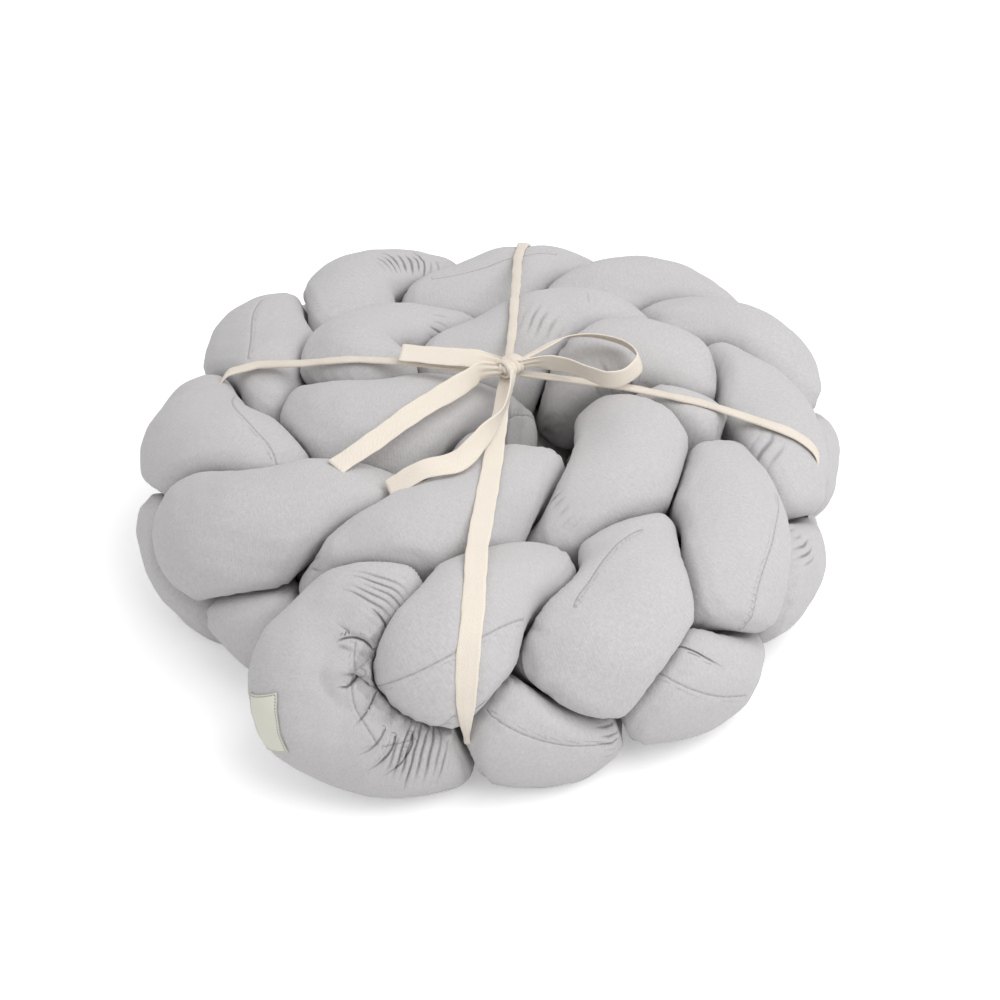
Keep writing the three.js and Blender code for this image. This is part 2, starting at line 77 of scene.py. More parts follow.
# %% The plait's sizes, in millimetres and degrees
TUBE_RADIUS = 40
BRAID_SPREAD = 20            # how far a strand swings out and in
LOW_LIFT = 5                 # how much higher the stuffing holds a strand that lies on the floor
PRESSED_FLAT = 2             # how much lower a pressed strand is than a free one
CENTRING = (-2.923, 4.113)   # puts the middle of the roll over the origin
PHASE_PER_CROSSING = 120
PHASE_BEFORE_FIRST = -150
PHASE_STEP = 3.0
BRAID_END = 2214
MIDDLE_STRAND_START = 10
UPPER_LAG, MIDDLE_LAG, LOWER_LAG = 120, 0, 240
FOLD_REACH, FOLD_SPREAD, FOLD_OUT = 56, 1.05, 10
FOLD_POINTS = 25

# columns: x, y, crest, lean, trail; one row for each crossing, from the outer end to the middle
CROSSINGS = np.array([
    (-190, -191, 134, 10, 0), (-100, -225, 134, 9, 12), (-12, -216, 134, 7, 14),
    (100, -181, 128, 7, 0), (168, -77, 134, 9, -12), (198, 50, 134, 13, 0),
    (190, 140, 134, 13, 0), (108, 205, 134, 6, 0), (4, 215, 134, 6, 0), (-118, 198, 134, 4, 0),
    (-178, 105, 134, 2, 0), (-200, -22, 134, 0, 0), (-146, -110, 142, 0, 0),
    (-18, -124, 150, 4, 0), (108, -45, 154, 4, 0), (130, -3, 144, 4, 0), (114, 65, 160, 4, 0),
    (34, 107, 164, 4, 0), (-109, 68, 156, 4, 0), (-72, -15, 152, 4, 0), (62, -13, 148, 4, 0),
    (132, -23, 144, 4, 0)], float)
print(len(CROSSINGS), "crossings")

# %% A smooth curve through the crossings
def through_rows(a, b, c, d, t):
    """A Catmull-Rom curve from row b to row c, shaped by the rows on both sides of them."""
    return 0.5 * (2 * b + (c - a) * t + (2 * a - 5 * b + 4 * c - d) * t ** 2
                  + (3 * b - a - 3 * c + d) * t ** 3)


def unit(vectors):
    """Rows of vectors, each scaled to a length of 1."""
    return vectors / np.linalg.norm(vectors, axis=1, keepdims=True)


def crossing_at(phase):
    """The table's columns at some phases."""
    last = len(CROSSINGS) - 1
    place = (np.asarray(phase, float) - PHASE_BEFORE_FIRST) / PHASE_PER_CROSSING
    row = np.clip(np.floor(place).astype(int), 0, last - 1)
    t = (place - row)[:, None]
    return through_rows(*(CROSSINGS[np.clip(row + k, 0, last)] for k in (-1, 0, 1, 2)), t)


def braid_directions(phase):
    """The plait's heading and the direction out of the roll, both level."""
    along = unit((crossing_at(phase + 0.5) - crossing_at(phase - 0.5))[:, :2])
    level = np.zeros(len(along))
    return (np.column_stack([along, level]),
            np.column_stack([along[:, 1], -along[:, 0], level]))


def strand_line(start, lag):
    """The middle line of one strand from a phase to the end of the plait."""
    phase = np.arange(start, BRAID_END + 0.1, PHASE_STEP)
    x, y, crest, lean, trail = crossing_at(phase).T
    along, out = braid_directions(phase)
    turn = np.radians(phase + lag)
    depth = (1 - np.sin(turn)) / 2
    swing = BRAID_SPREAD * np.sin(2 * turn) - lean * np.sin(turn)
    lift = (crest / 2 - TUBE_RADIUS + PRESSED_FLAT) * np.sin(turn) + LOW_LIFT * depth
    return (np.column_stack([x, y, crest / 2 + lift])
            + out * swing[:, None] + along * (trail * depth)[:, None])


def fold_line(top, bottom):
    """Half an ellipse from the upper strand's start round to the lower strand's start."""
    along, out = (direction[0] for direction in braid_directions(np.array([0.0])))
    turn = np.radians(np.linspace(0, 180, FOLD_POINTS)[1:-1])[:, None]
    return ((top + bottom) / 2 + (top - bottom) / 2 * FOLD_SPREAD * np.cos(turn)
            - along * FOLD_REACH * np.sin(turn) + out * FOLD_OUT * np.sin(turn))


upper, lower = strand_line(0, UPPER_LAG), strand_line(0, LOWER_LAG)
folded_line = np.vstack([upper[::-1], fold_line(upper[0], lower[0]), lower])
middle_line = strand_line(MIDDLE_STRAND_START, MIDDLE_LAG)
print("rough lines:", len(folded_line), "and", len(middle_line), "points")

# %% [markdown]
# ## Even spacing, and closer rings at the knob
# A stuffed tube bends softly, so its line is spaced evenly and smoothed. The fold at the outer end
# is gathered into fine pleats, and only there are the rings set closer together.

# %% Space and smooth the lines
RING_STEP = 2.4              # between rings
KNOB_STEP = 0.6              # between rings in the gathered fold
KNOB_HALF_LENGTH = 175       # how far the close rings reach to both sides of the fold's middle
FOLD_HALF_LENGTH = 60        # from the upper strand's start to the middle of the fold
SOFT_FOLDED, SOFT_MIDDLE = 9.5, 5.5     # how far the smoothing reaches


def length_along(line):
    return np.concatenate([[0], np.cumsum(np.linalg.norm(np.diff(line, axis=0), axis=1))])


def at_lengths(line, wanted):
    travelled = length_along(line)
    return np.column_stack([np.interp(wanted, travelled, line[:, k]) for k in range(3)])


def softened(line, reach, step):
    """Rounds of a small blur that add up to the same reach at any spacing."""
    for _ in range(max(1, round(2 * (reach / step) ** 2))):
        line = np.vstack([line[:1], (line[:-2] + 2 * line[1:-1] + line[2:]) / 4, line[-1:]])
    return line


def spaced(line, reach, knob_at=None):
    """The smoothed line, with even steps and, if wanted, closer steps around one place."""
    total = length_along(line)[-1]
    fine = np.linspace(0, total, round(total / KNOB_STEP) + 1)
    smooth = softened(at_lengths(line, fine), reach, KNOB_STEP)
    total = length_along(smooth)[-1]
    if knob_at is None:
        return at_lengths(smooth, np.linspace(0, total, round(total / RING_STEP) + 1))
    edges = [0, knob_at - KNOB_HALF_LENGTH, knob_at + KNOB_HALF_LENGTH, total]
    steps = [RING_STEP, KNOB_STEP, RING_STEP]
    runs = [np.linspace(a, b, round((b - a) / step) + 1)[:-1]
            for a, b, step in zip(edges, edges[1:], steps)]
    return at_lengths(smooth, np.concatenate(runs + [[total]]))


knob_length = length_along(upper)[-1] + FOLD_HALF_LENGTH
LINES = {
    "strand_folded": spaced(folded_line, SOFT_FOLDED, knob_length),
    "strand_middle": spaced(middle_line, SOFT_MIDDLE),
}
for name, line in LINES.items():
    print(name, "is", round(length_along(line)[-1]), "mm long with", len(line), "rings")

# %% [markdown]
# ## Stuffed tubes that press on each other
# A filled tube keeps the area of its section. Where a neighbour or the floor presses on it, it goes
# flat there and swells elsewhere. A cloth simulation of over seven metres of tube that touches
# itself in many places would be slow and hard to steer, so the shape is solved ring by ring: every
# direction across a ring has some room before it meets the plane half-way to a neighbour, and one
# free radius is found for each ring that gives the section its area back.

# %% Small helpers for smooth numbers
def step_up(value, start, end):
    """0 before start, 1 after end, and smooth between."""
    t = np.clip((value - start) / (end - start), 0, 1)
    return t * t * (3 - 2 * t)


def bell(value, middle, width):
    return np.exp(-((value - middle) / width) ** 2)


def blurred(values, travelled, reach):
    """Values for each ring, smoothed along the tube over a distance of about reach."""
    even = np.arange(0, travelled[-1] + 2, 2.0)
    flat = values.reshape(len(values), -1)
    fine = np.column_stack([np.interp(even, travelled, column) for column in flat.T])
    side = np.arange(-3 * reach, 3 * reach + 1, 2.0)
    kernel = np.exp(-(side / reach) ** 2 / 2)
    weight = np.convolve(np.ones(len(even)), kernel, "same")
    for k in range(fine.shape[1]):
        fine[:, k] = np.convolve(fine[:, k], kernel, "same") / weight
    back = np.column_stack([np.interp(travelled, even, column) for column in fine.T])
    return back.reshape(values.shape)


# %% Directions across each ring
RAYS = 112
PRESS_GAP = 1.2              # between two tubes that press on each other
REACH = 125                  # neighbours further away never touch
SELF_SKIP, SELF_CONTACT = 12, 100
NEIGHBOUR_STEP = 4.5         # spacing of the points that neighbours are looked for at
SMALLEST_SWELL, LARGEST_SWELL = 0.6, 1.42
SWELL_ROUNDS = 20            # halvings of the range in which the free radius lies
CREASE_ROUNDING = 15         # the cloth can't bend more sharply than this beside a crease
EVENING = 13                 # how far the filling evens itself out along a tube
FAR = 1e3                    # stands for no limit at all


def cross_directions(line):
    """Two directions across the tube at each ring, carried along without twist."""
    tangents = unit(np.gradient(line, axis=0))
    side = np.cross(tangents[0], (0, 0, 1))
    sides = []
    for tangent in tangents:
        side = side - tangent * side.dot(tangent)
        side /= np.linalg.norm(side)
        sides.append(side)
    sides = np.array(sides)
    return sides, np.cross(tangents, sides)


class Tube:
    """One stuffed strand: its line, and for each ring the directions out to its skin."""

    def __init__(self, name, line):
        self.name, self.line = name, line
        self.travelled = length_along(line)
        self.sides, self.overs = cross_directions(line)
        self.aim(np.tile(2 * np.pi * np.arange(RAYS) / RAYS, (len(line), 1)))

    def aim(self, angles):
        self.angles = angles
        self.rays = (self.sides[:, None] * np.cos(angles)[..., None]
                     + self.overs[:, None] * np.sin(angles)[..., None])


tubes = {name: Tube(name, line) for name, line in LINES.items()}
marks = []
for owner, tube in enumerate(tubes.values()):
    count = round(tube.travelled[-1] / NEIGHBOUR_STEP)
    lengths = np.linspace(0, tube.travelled[-1], count)
    marks.append(np.column_stack([at_lengths(tube.line, lengths), lengths, np.full(count, owner)]))
marks = np.vstack(marks)
print(len(marks), "places that a neighbour is looked for at")

# %% How much room there is around each ring
class Near:
    """The places near one ring: how far they are, and how squarely each ray faces them."""

    def __init__(self, tube, owner, ring):
        away = marks[:, :3] - tube.line[ring]
        distance = np.linalg.norm(away, axis=1)
        apart = np.abs(marks[:, 3] - tube.travelled[ring])
        own = marks[:, 4] == owner
        here = (distance < REACH) & ~(own & (apart < SELF_SKIP))
        gap = np.where(own[here] & (apart[here] < SELF_CONTACT), 0, PRESS_GAP)
        self.same_stretch = (own & (apart < SELF_CONTACT))[here, None]
        self.half = ((distance[here] - gap) / 2)[:, None]
        self.facing = np.maximum((away[here] / distance[here, None]) @ tube.rays[ring].T, 0.02)


def measure_room(tube, owner):
    """Room to the planes half-way to the neighbours, and to the same planes moved in."""
    tube.room, tube.inner_room = np.zeros(tube.angles.shape), np.zeros(tube.angles.shape)
    for ring in range(len(tube.line)):
        near = Near(tube, owner, ring)
        tube.room[ring] = (near.half / near.facing).min(axis=0)
        inner = np.maximum(near.half - CREASE_ROUNDING, 2)
        tube.inner_room[ring] = (inner / near.facing).min(axis=0)
    fall = tube.rays[..., 2]
    tube.to_floor = np.where(fall < -1e-3, tube.line[:, None, 2] / -np.minimum(fall, -1e-3), FAR)


def swell(tube):
    """The free radius that gives each ring its area back, evened out along the tube."""
    wedge = np.diff(tube.angles, axis=1, append=tube.angles[:, :1] + 2 * np.pi)
    limit = np.minimum(tube.room, tube.to_floor)
    lowest, highest = (np.full(len(tube.line), end) for end in (SMALLEST_SWELL, LARGEST_SWELL))
    for _ in range(SWELL_ROUNDS):
        middle = (lowest + highest) / 2
        radii = np.minimum(middle[:, None] * TUBE_RADIUS, limit)
        full = (radii ** 2 * wedge).sum(axis=1) > 2 * np.pi * TUBE_RADIUS ** 2
        highest, lowest = np.where(full, middle, highest), np.where(full, lowest, middle)
    tube.free = blurred(middle * TUBE_RADIUS, tube.travelled, EVENING)
    tube.press = tube.free[:, None] / limit


FREE_PRESS, FLAT_PRESS = 1.15, 1.7      # free radius over room, where the skin is free and flat
PRESSED_SHARE, CROWD_REACH, CROWD_ROUNDS = 0.3, 14, 6


def crowd_rays(tube):
    """Aims more rays at the free skin, and fewer at skin that is pressed flat and never seen."""
    weight = PRESSED_SHARE + 1 - step_up(tube.press, FREE_PRESS, FLAT_PRESS)
    weight = blurred(weight, tube.travelled, CROWD_REACH)
    for _ in range(CROWD_ROUNDS):
        weight = (np.roll(weight, 1, axis=1) + 2 * weight + np.roll(weight, -1, axis=1)) / 4
    total = np.cumsum(weight, axis=1)
    total = np.column_stack([np.zeros(len(total)), total]) / total[:, -1:]
    share, coarse = np.arange(RAYS) / RAYS, 2 * np.pi * np.arange(RAYS + 1) / RAYS
    tube.aim(np.array([np.interp(share, row, coarse) for row in total]))


for owner, tube in enumerate(tubes.values()):
    measure_room(tube, owner)
    swell(tube)
    crowd_rays(tube)
    measure_room(tube, owner)
    tube.press = tube.free[:, None] / np.minimum(tube.room, tube.to_floor)
    print(tube.name, "swells to", tube.free.max().round(), "mm, and",
          round(float((tube.press > 1).mean() * 100)), "% of its rays meet a neighbour or the floor")

# %% Round the edges of the contacts
END_ROUNDING = 34


def skin(tube, radii):
    """The points of the skin, with the two ends rounded over."""
    ends = np.minimum(tube.travelled, tube.travelled[-1] - tube.travelled)
    closing = np.sqrt(1 - np.maximum(1 - ends / END_ROUNDING, 0) ** 2)
    return tube.line[:, None] + tube.rays * (radii * closing[:, None])[:, :, None]


def rolled(tube):
    """Radii of the skin that a ball leaves when it rolls inside the limits."""
    ball = CREASE_ROUNDING
    inner = np.minimum(np.minimum(tube.free[:, None] - ball, tube.inner_room),
                       tube.to_floor * np.maximum(1 - ball / tube.line[:, None, 2], 0.05))
    spots = tube.line[:, None] + tube.rays * inner[..., None]
    radii = inner + ball * 0.5
    count = len(tube.line)
    for ring in range(count):
        first = np.searchsorted(tube.travelled, tube.travelled[ring] - ball)
        last = np.searchsorted(tube.travelled, tube.travelled[ring] + ball)
        away = spots[first:last:2].reshape(-1, 3) - tube.line[ring]
        reach = away @ tube.rays[ring].T
        rest = (away ** 2).sum(axis=1)[:, None] - reach ** 2
        touched = reach + np.sqrt(np.maximum(ball ** 2 - rest, 0))
        hit = np.where((rest < ball ** 2) & (reach > 0), touched, 0)
        radii[ring] = np.maximum(hit.max(axis=0), radii[ring])
    return np.minimum(radii, np.minimum(tube.room, tube.to_floor))


for tube in tubes.values():
    tube.radii = rolled(tube)
    print(tube.name, "radii", tube.radii.min().round(), "to", tube.radii.max().round(), "mm")

# %% [markdown]
# ## The fold closes round its neighbour
# At the outer end one strand turns back on itself, and the inside of that bend is all spare cloth.
# It bulges inwards until it meets the strand that starts there, so no hollow is left between them.

# %% Fill the inside of the fold
FILL_FULL, FILL_END = 65, 112     # along the strand from the fold's middle
FILL_RINGS = 90                   # of the middle strand, from its start
FILL_ROUNDS, FILL_SHARE = 7, 0.7  # rounds, and the share of the gap that each one closes
FILL_IN, FILL_OUT = -5, 9         # the most that one round moves the skin back or out
FILL_ASIDE, FILL_SQUARE = 0.2, 0.6      # how squarely a ray has to face the neighbour
TURN_OUT = 1                      # the side of the skin that its faces look out of
folded, middle = tubes.values()


def skin_tree(tube, rings):
    """The first rings of a tube's skin, ready to be asked for the nearest point."""
    points = skin(tube, tube.radii)[:rings].reshape(-1, 3)
    faces = [(a + k, a + (k + 1) % RAYS, a + RAYS + (k + 1) % RAYS, a + RAYS + k)
             for a in range(0, (rings - 1) * RAYS, RAYS) for k in range(RAYS)]
    return BVHTree.FromPolygons(points.tolist(), faces)


def clearance(spots, tree):
    """How far points are outside a skin, and the way to its nearest point."""
    gaps, ways = np.zeros(len(spots)), np.zeros((len(spots), 3))
    for number, spot in enumerate(spots):
        place, normal, _, distance = tree.find_nearest(Vector(spot))
        away = Vector(spot) - place
        outside = 1 if away.dot(normal) * TURN_OUT > 0 else -1
        gaps[number] = distance * outside - PRESS_GAP
        ways[number] = away / max(distance, 1e-6) * -outside
    return gaps, ways


def fill_fold():
    """Pushes the skin inside the fold out until it meets the strand that starts there."""
    rings = np.flatnonzero(np.abs(folded.travelled - knob_length) < FILL_END)
    share = 1 - step_up(np.abs(folded.travelled[rings] - knob_length), FILL_FULL, FILL_END)[:, None]
    rays, start = folded.rays[rings], folded.line[rings][:, None]
    radii = folded.radii[rings]
    tree = skin_tree(middle, FILL_RINGS)
    for _ in range(FILL_ROUNDS):
        spots = start + rays * radii[..., None]
        gap, toward = (part.reshape(*radii.shape, -1)
                       for part in clearance(spots.reshape(-1, 3), tree))
        facing = (toward * rays).sum(-1)
        step = np.clip(gap[..., 0] * FILL_SHARE, FILL_IN, FILL_OUT)
        radii = radii + share * step_up(facing, FILL_ASIDE, FILL_SQUARE) * step
    print("the fold bulges by", round(float((radii - folded.radii[rings]).max())), "mm at most")
    folded.radii[rings] = radii


fill_fold()
for tube in tubes.values():
    tube.skin = skin(tube, tube.radii)

# %% [markdown]
# ## What the cloth does between the creases
# Jersey filled with fibre is never quite even. It has soft lumps, each tube is closed by one seam
# that winds slowly round it, and where a strand dives under its neighbour the spare cloth gathers
# into short folds. They could be painted on, but real folds shade and catch light from every side,
# so each is a move of the skin along its own rays. Short tables say where they lie on the strand.

# %% How far each point of the skin is from a crease
FOLDED, MIDDLE = "strand_folded", "strand_middle"


def look_around(tube, owner):
    """Distance along the skin to the nearest crease, from the room that is left there."""
    clear = np.zeros(tube.angles.shape)
    for ring in range(len(tube.line)):
        near = Near(tube, owner, ring)
        room = near.half - tube.radii[ring] * near.facing + FAR * near.same_stretch
        clear[ring] = room.min(axis=0)
    tube.from_crease = np.sqrt(2 * CREASE_ROUNDING * np.maximum(clear, 0))


for owner, tube in enumerate(tubes.values()):
    look_around(tube, owner)
    print(tube.name, "is at most", tube.from_crease.max().round(), "mm from a crease")

# %% Soft lumps
LUMP_SIZE, LUMP_HEIGHT = 55, 1.1
DENT_SIZE, DENT_HEIGHT = 19, 0.35
LUMPS_FROM, LUMPS_FULL = 2, 20          # distance from a crease


def soft_noise(points, size, seed, waves=14):
    """Even noise from -1 to 1: a sum of sine waves in fixed random directions."""
    draw = np.random.default_rng(seed)
    total = np.zeros(points.shape[:-1])
    for _ in range(waves):
        direction = draw.normal(size=3)
        direction *= 2 * np.pi / (size * draw.uniform(0.7, 1.6) * np.linalg.norm(direction))
        total += np.sin(points @ direction + draw.uniform(0, 2 * np.pi))
    return total / math.sqrt(waves / 2) / 1.6


for seed, tube in enumerate(tubes.values()):
    free = step_up(tube.from_crease, LUMPS_FROM, LUMPS_FULL)
    lumps = LUMP_HEIGHT * soft_noise(tube.skin, LUMP_SIZE, seed)
    tube.move = free * (lumps + DENT_HEIGHT * soft_noise(tube.skin, DENT_SIZE, seed + 5))
    print(tube.name, "has lumps of", tube.move.max().round(1), "mm")

# %% Gathers: short folds side by side
# strand, place along it in mm and round it in degrees; then, measured on the skin: the turn of the
# folds from the strand's own line, half their length, their bend, the spread of the group, their
# spacing and their depth
GATHERS = [
    (FOLDED, 2451, 326, 36, 24, -2, 20, 6, 1.7),      # the knob's top, running into the first lobe
    (FOLDED, 2587, 333, -70, 25, -3, 25, 5.4, 2.1),   # the knob's foot, drawn in all round
    (FOLDED, 2566, 330, -30, 12, -2, 8, 5.5, 1.0),
    (FOLDED, 2303, 273, 8, 13, -2, 24, 5.8, 1.8),     # where the low lobes dive
    (FOLDED, 3550, 241, 86, 15, 2, 30, 6.5, 2.2),
    (MIDDLE, 2093, 297, -32, 20, 0, 26, 8.5, 1.3),
    (MIDDLE, 2055, 308, -75, 14, 0, 14, 7, 0.9),
    (MIDDLE, 1682, 289, 0, 9, 0, 30, 7, 1.3),
    (FOLDED, 511, 22, 84, 15, 0, 26, 8, 1.6),
    (MIDDLE, 430, 306, 12, 26, 0, 16, 10, 1.3),
    (FOLDED, 975, 296, 2, 9, 0, 30, 6.5, 1.1),
    (FOLDED, 2950, 297, 0, 14, 0, 20, 7, 1.6),
    (FOLDED, 4728, 262, 0, 11, 0, 20, 7, 1.4),
    (FOLDED, 22, 268, 24, 22, 0, 22, 11, 1.2),
]
FOLD_WANDER = 0.5            # how far a fold slips along its own line, in half lengths
FOLD_FAN = 0.12              # how much the folds of a group spread from one end to the other
WIGGLE, WIGGLE_RUN = 0.07, 4.7          # of a fold along itself, in spacings and in mm
DRIFT, DRIFT_RUN = 0.8, 5.1             # of the spacing across a group, in mm
GATHER_REACH, GATHER_FAINTEST = 90, 0.02
RIDGE, RIDGE_FREE = 0.2, (3, 12)        # share of the depth, and how far from a crease it swells


def uneven(number, start):
    """A fixed value from 0 to 1 for each whole number."""
    return np.modf(np.abs(np.sin(number * 12.99 + start) * 437.6))[0]


def skin_scale(tube, length, degrees):
    """How far the skin goes, at one place, for a mm along the strand and for a radian round it."""
    ring = np.searchsorted(tube.travelled, length)
    ring = min(max(ring, 2), len(tube.travelled) - 3)
    angle = math.radians(degrees % 360)
    ray = np.abs((tube.angles[ring] - angle + np.pi) % (2 * np.pi) - np.pi).argmin()
    before, after = tube.skin[ring - 2, ray], tube.skin[ring + 2, ray]
    along = np.linalg.norm(after - before) / (tube.travelled[ring + 2] - tube.travelled[ring - 2])
    return along, np.linalg.norm(tube.skin[ring, ray] - tube.line[ring])


def gather(tube, length, degrees, turn, reach, bend, spread, spacing, start):
    """The place across the folds, in spacings, and how strongly each point is gathered."""
    stretch, radius = skin_scale(tube, length, degrees)
    away = tube.travelled[:, None] - length
    ahead = away * stretch
    around = (np.degrees(tube.angles) - degrees + 180) % 360 - 180
    around = np.radians(around) * radius
    turn = math.radians(turn)
    along = ahead * math.cos(turn) + around * math.sin(turn)
    across = around * math.cos(turn) - ahead * math.sin(turn) + bend * (along / reach) ** 2
    wiggle = WIGGLE * spacing * np.sin(along / WIGGLE_RUN + start)
    across = across + wiggle + DRIFT * np.sin(across / DRIFT_RUN + start)
    across = across * (1 + FOLD_FAN * along / reach)
    which = np.round(across / spacing)
    middle = (uneven(which, start) - 0.5) * FOLD_WANDER * reach
    share = bell(along, middle, reach * (0.6 + 0.6 * uneven(which, start + 2)))
    share = share * bell(across, 0, spread) * (0.55 + 0.45 * uneven(which, start + 4))
    kept = (np.abs(away) < GATHER_REACH) & (share > GATHER_FAINTEST)
    return across / spacing, np.where(kept, share, 0)


for tube in tubes.values():
    tube.fold, tube.gather = (np.zeros(tube.angles.shape) for _ in range(2))
for start, (strand, length, degrees, *shape, depth) in enumerate(GATHERS):
    tube = tubes[strand]
    across, share = gather(tube, length, degrees, *shape, start)
    valley = (0.5 + 0.5 * np.cos(2 * np.pi * across)) ** 2
    tube.move -= depth * share * (valley - RIDGE * step_up(tube.from_crease, *RIDGE_FREE))
    # two groups may overlap: the finish follows the stronger, and neither where they are equal
    lead = depth * share - tube.gather
    tube.fold = np.where(lead > 0, across, tube.fold)
    tube.gather = np.abs(lead)
print(len(GATHERS), "groups of folds, at most", max(row[-1] for row in GATHERS), "mm deep")

# %% Curves on the skin
CURVE_STEPS, CURVE_REACH = 24, 30
LINE_REACH = 4               # a curve's own values end this far from it


def curve_on_skin(tube, places):
    """Points on the skin along a soft curve; each place is mm along the strand, degrees round it."""
    at, fine = np.linspace(0, 1, len(places)), np.linspace(0, 1, CURVE_STEPS)
    lengths, degrees = (np.polyval(np.polyfit(at, part, len(at) - 1), fine)
                        for part in np.array(places, float).T)
    rings = np.interp(lengths, tube.travelled, np.arange(len(tube.travelled)))
    points = []
    for ring, angle in zip(rings, np.radians(degrees)):
        first = min(int(ring), len(tube.travelled) - 2)
        before, after = (np.array([np.interp(angle, tube.angles[k], tube.skin[k, :, axis],
                                             period=2 * np.pi) for axis in range(3)])
                         for k in (first, first + 1))
        points.append(before + (after - before) * (ring - first))
    return np.array(points)


def beside_curve(tube, places):
    """Signed distance from a curve on the skin, cut off at LINE_REACH, and how far along it is."""
    curve, lengths = curve_on_skin(tube, places), [length for length, _ in places]
    reached = min(lengths) - CURVE_REACH, max(lengths) + CURVE_REACH
    first, last = np.searchsorted(tube.travelled, reached)
    spots, outward = tube.skin[first:last], tube.skin[first:last] - tube.line[first:last, None]
    best, place = np.full(spots.shape[:2], FAR), np.zeros(spots.shape[:2])
    for number, (start, end) in enumerate(zip(curve, curve[1:])):
        run = end - start
        t = np.clip((spots - start) @ run / (run @ run), 0, 1)
        offset = spots - start - t[..., None] * run
        distance = np.linalg.norm(offset, axis=2)
        side = np.where((np.cross(run, offset) * outward).sum(axis=2) < 0, -1, 1)
        nearer = distance < np.abs(best)
        best = np.where(nearer, distance * side, best)
        place = np.where(nearer, (number + t) / (CURVE_STEPS - 1), place)
    distance, along = np.full(tube.angles.shape, float(LINE_REACH)), np.ones(tube.angles.shape)
    distance[first:last] = np.clip(best, -LINE_REACH, LINE_REACH)
    along[first:last] = place
    return distance, along, 1 - step_up(np.abs(distance), 0.6 * LINE_REACH, LINE_REACH)


# %% Single tucks and seams
TUCK_WIDTH, SEAM_DEPTH, SEAM_WIDTH = 2.4, 0.5, 1.7
TUCK_RIM = 0.25              # how high the cloth stands beside a tuck, as a share of its depth
TUCK_FADES_FROM = 0.3        # share of its length after which a tuck runs out

# strand, depth in mm, then the places that the tuck runs through, from the crease that it starts in
TUCKS = [
    (FOLDED, 3.4, (2462, 284), (2470, 296), (2480, 301), (2488, 303)),   # two notches inside the knob
    (FOLDED, 3.2, (2541, 266), (2540, 284), (2535, 289), (2528, 297)),
    (FOLDED, 1.2, (2471, 298), (2475, 308), (2480, 322)),
    (FOLDED, 1.8, (2568, 280), (2561, 302), (2553, 320)),                 # below them, to the foot
    (FOLDED, 1.4, (2575, 312), (2568, 330), (2556, 342)),
    (FOLDED, 2.2, (2580, 318), (2575, 338), (2562, 360)),
    (FOLDED, 2.4, (2587, 318), (2582, 341), (2570, 362)),
    (FOLDED, 2.0, (2450, 298), (2454, 309), (2461, 319)),
    (MIDDLE, 2.4, (210, 343), (223, 356), (235, 375)),
    (MIDDLE, 1.4, (34, 26), (52, 30), (80, 34)),
]
# strand, then the places that the seam runs through
SEAMS = [
    (MIDDLE, (12, 336), (31, 340), (50, 347), (72, 356)),
    (FOLDED, (2748, 256), (2768, 238), (2797, 238), (2821, 254)),
    (FOLDED, (2104, 286), (2130, 298), (2154, 294), (2175, 268)),
    (FOLDED, (2310, 263), (2322, 269), (2356, 280)),
    (MIDDLE, (196, 6), (223, 25), (244, 41)), (FOLDED, (2472, 294), (2500, 274), (2540, 281)),
    (FOLDED, (2538, 280), (2560, 304), (2572, 325)), (FOLDED, (2574, 326), (2588, 321)),
    (MIDDLE, (20, 30), (26, 23), (30, 20)), (FOLDED, (1280, 295), (1312, 301), (1350, 311)),
    (MIDDLE, (1286, 268), (1335, 288), (1368, 297)), (MIDDLE, (846, 300), (880, 306), (932, 313)),
    (FOLDED, (10, 322), (22, 303), (42, 266)),
]
for tube in tubes.values():
    tube.tuck, tube.seam = (np.full(tube.angles.shape, float(LINE_REACH)) for _ in range(2))
    tube.tucked, tube.sewn = (np.zeros(tube.angles.shape) for _ in range(2))
for strand, depth, *places in TUCKS:
    tube = tubes[strand]
    distance, along, beside = beside_curve(tube, places)
    fade = 1 - step_up(along, TUCK_FADES_FROM, 1)
    rim = TUCK_RIM * bell(distance, 0, LINE_REACH)
    tube.move -= depth * fade * (bell(distance, 0, TUCK_WIDTH / 1.5) - rim)
    deeper = depth * fade * beside > tube.tucked
    tube.tuck = np.where(deeper, distance, tube.tuck)
    tube.tucked = np.where(deeper, depth * fade * beside, tube.tucked)
for strand, *places in SEAMS:
    tube = tubes[strand]
    distance, along, beside = beside_curve(tube, places)
    surer = beside * (along > 0) * (along < 1) > tube.sewn
    tube.seam, tube.sewn = np.where(surer, distance, tube.seam), np.where(surer, beside, tube.sewn)
print(len(TUCKS), "tucks and", len(SEAMS), "stretches of seam")

# %% Small puckers beside the creases
PUCKER_SIZE, PUCKER_DEPTH, PUCKER_REACH = 7.5, 1.6, 4.5
PUCKER_WAVES = 20

for seed, tube in enumerate(tubes.values()):
    tube.move -= SEAM_DEPTH * tube.sewn * bell(tube.seam, 0, SEAM_WIDTH)
    pucker = np.maximum(soft_noise(tube.skin, PUCKER_SIZE, seed + 11, PUCKER_WAVES), 0)
    tube.move -= PUCKER_DEPTH * pucker * bell(tube.from_crease, 0, PUCKER_REACH)
    tube.skin = skin(tube, tube.radii + tube.move)
    print(tube.name, "moves from", tube.move.min().round(1), "to", tube.move.max().round(1), "mm")

# %% [markdown]
# ## Where the tape bites
# The tape is pulled tight round the roll, so its path is the taut line round a slice of the roll: a
# convex outline. It presses the tubes in a little where it touches them, and the floor leaves it a
# shallow groove underneath. So the outline is found once, the skins are pressed, and it is found
# again for the tape itself.

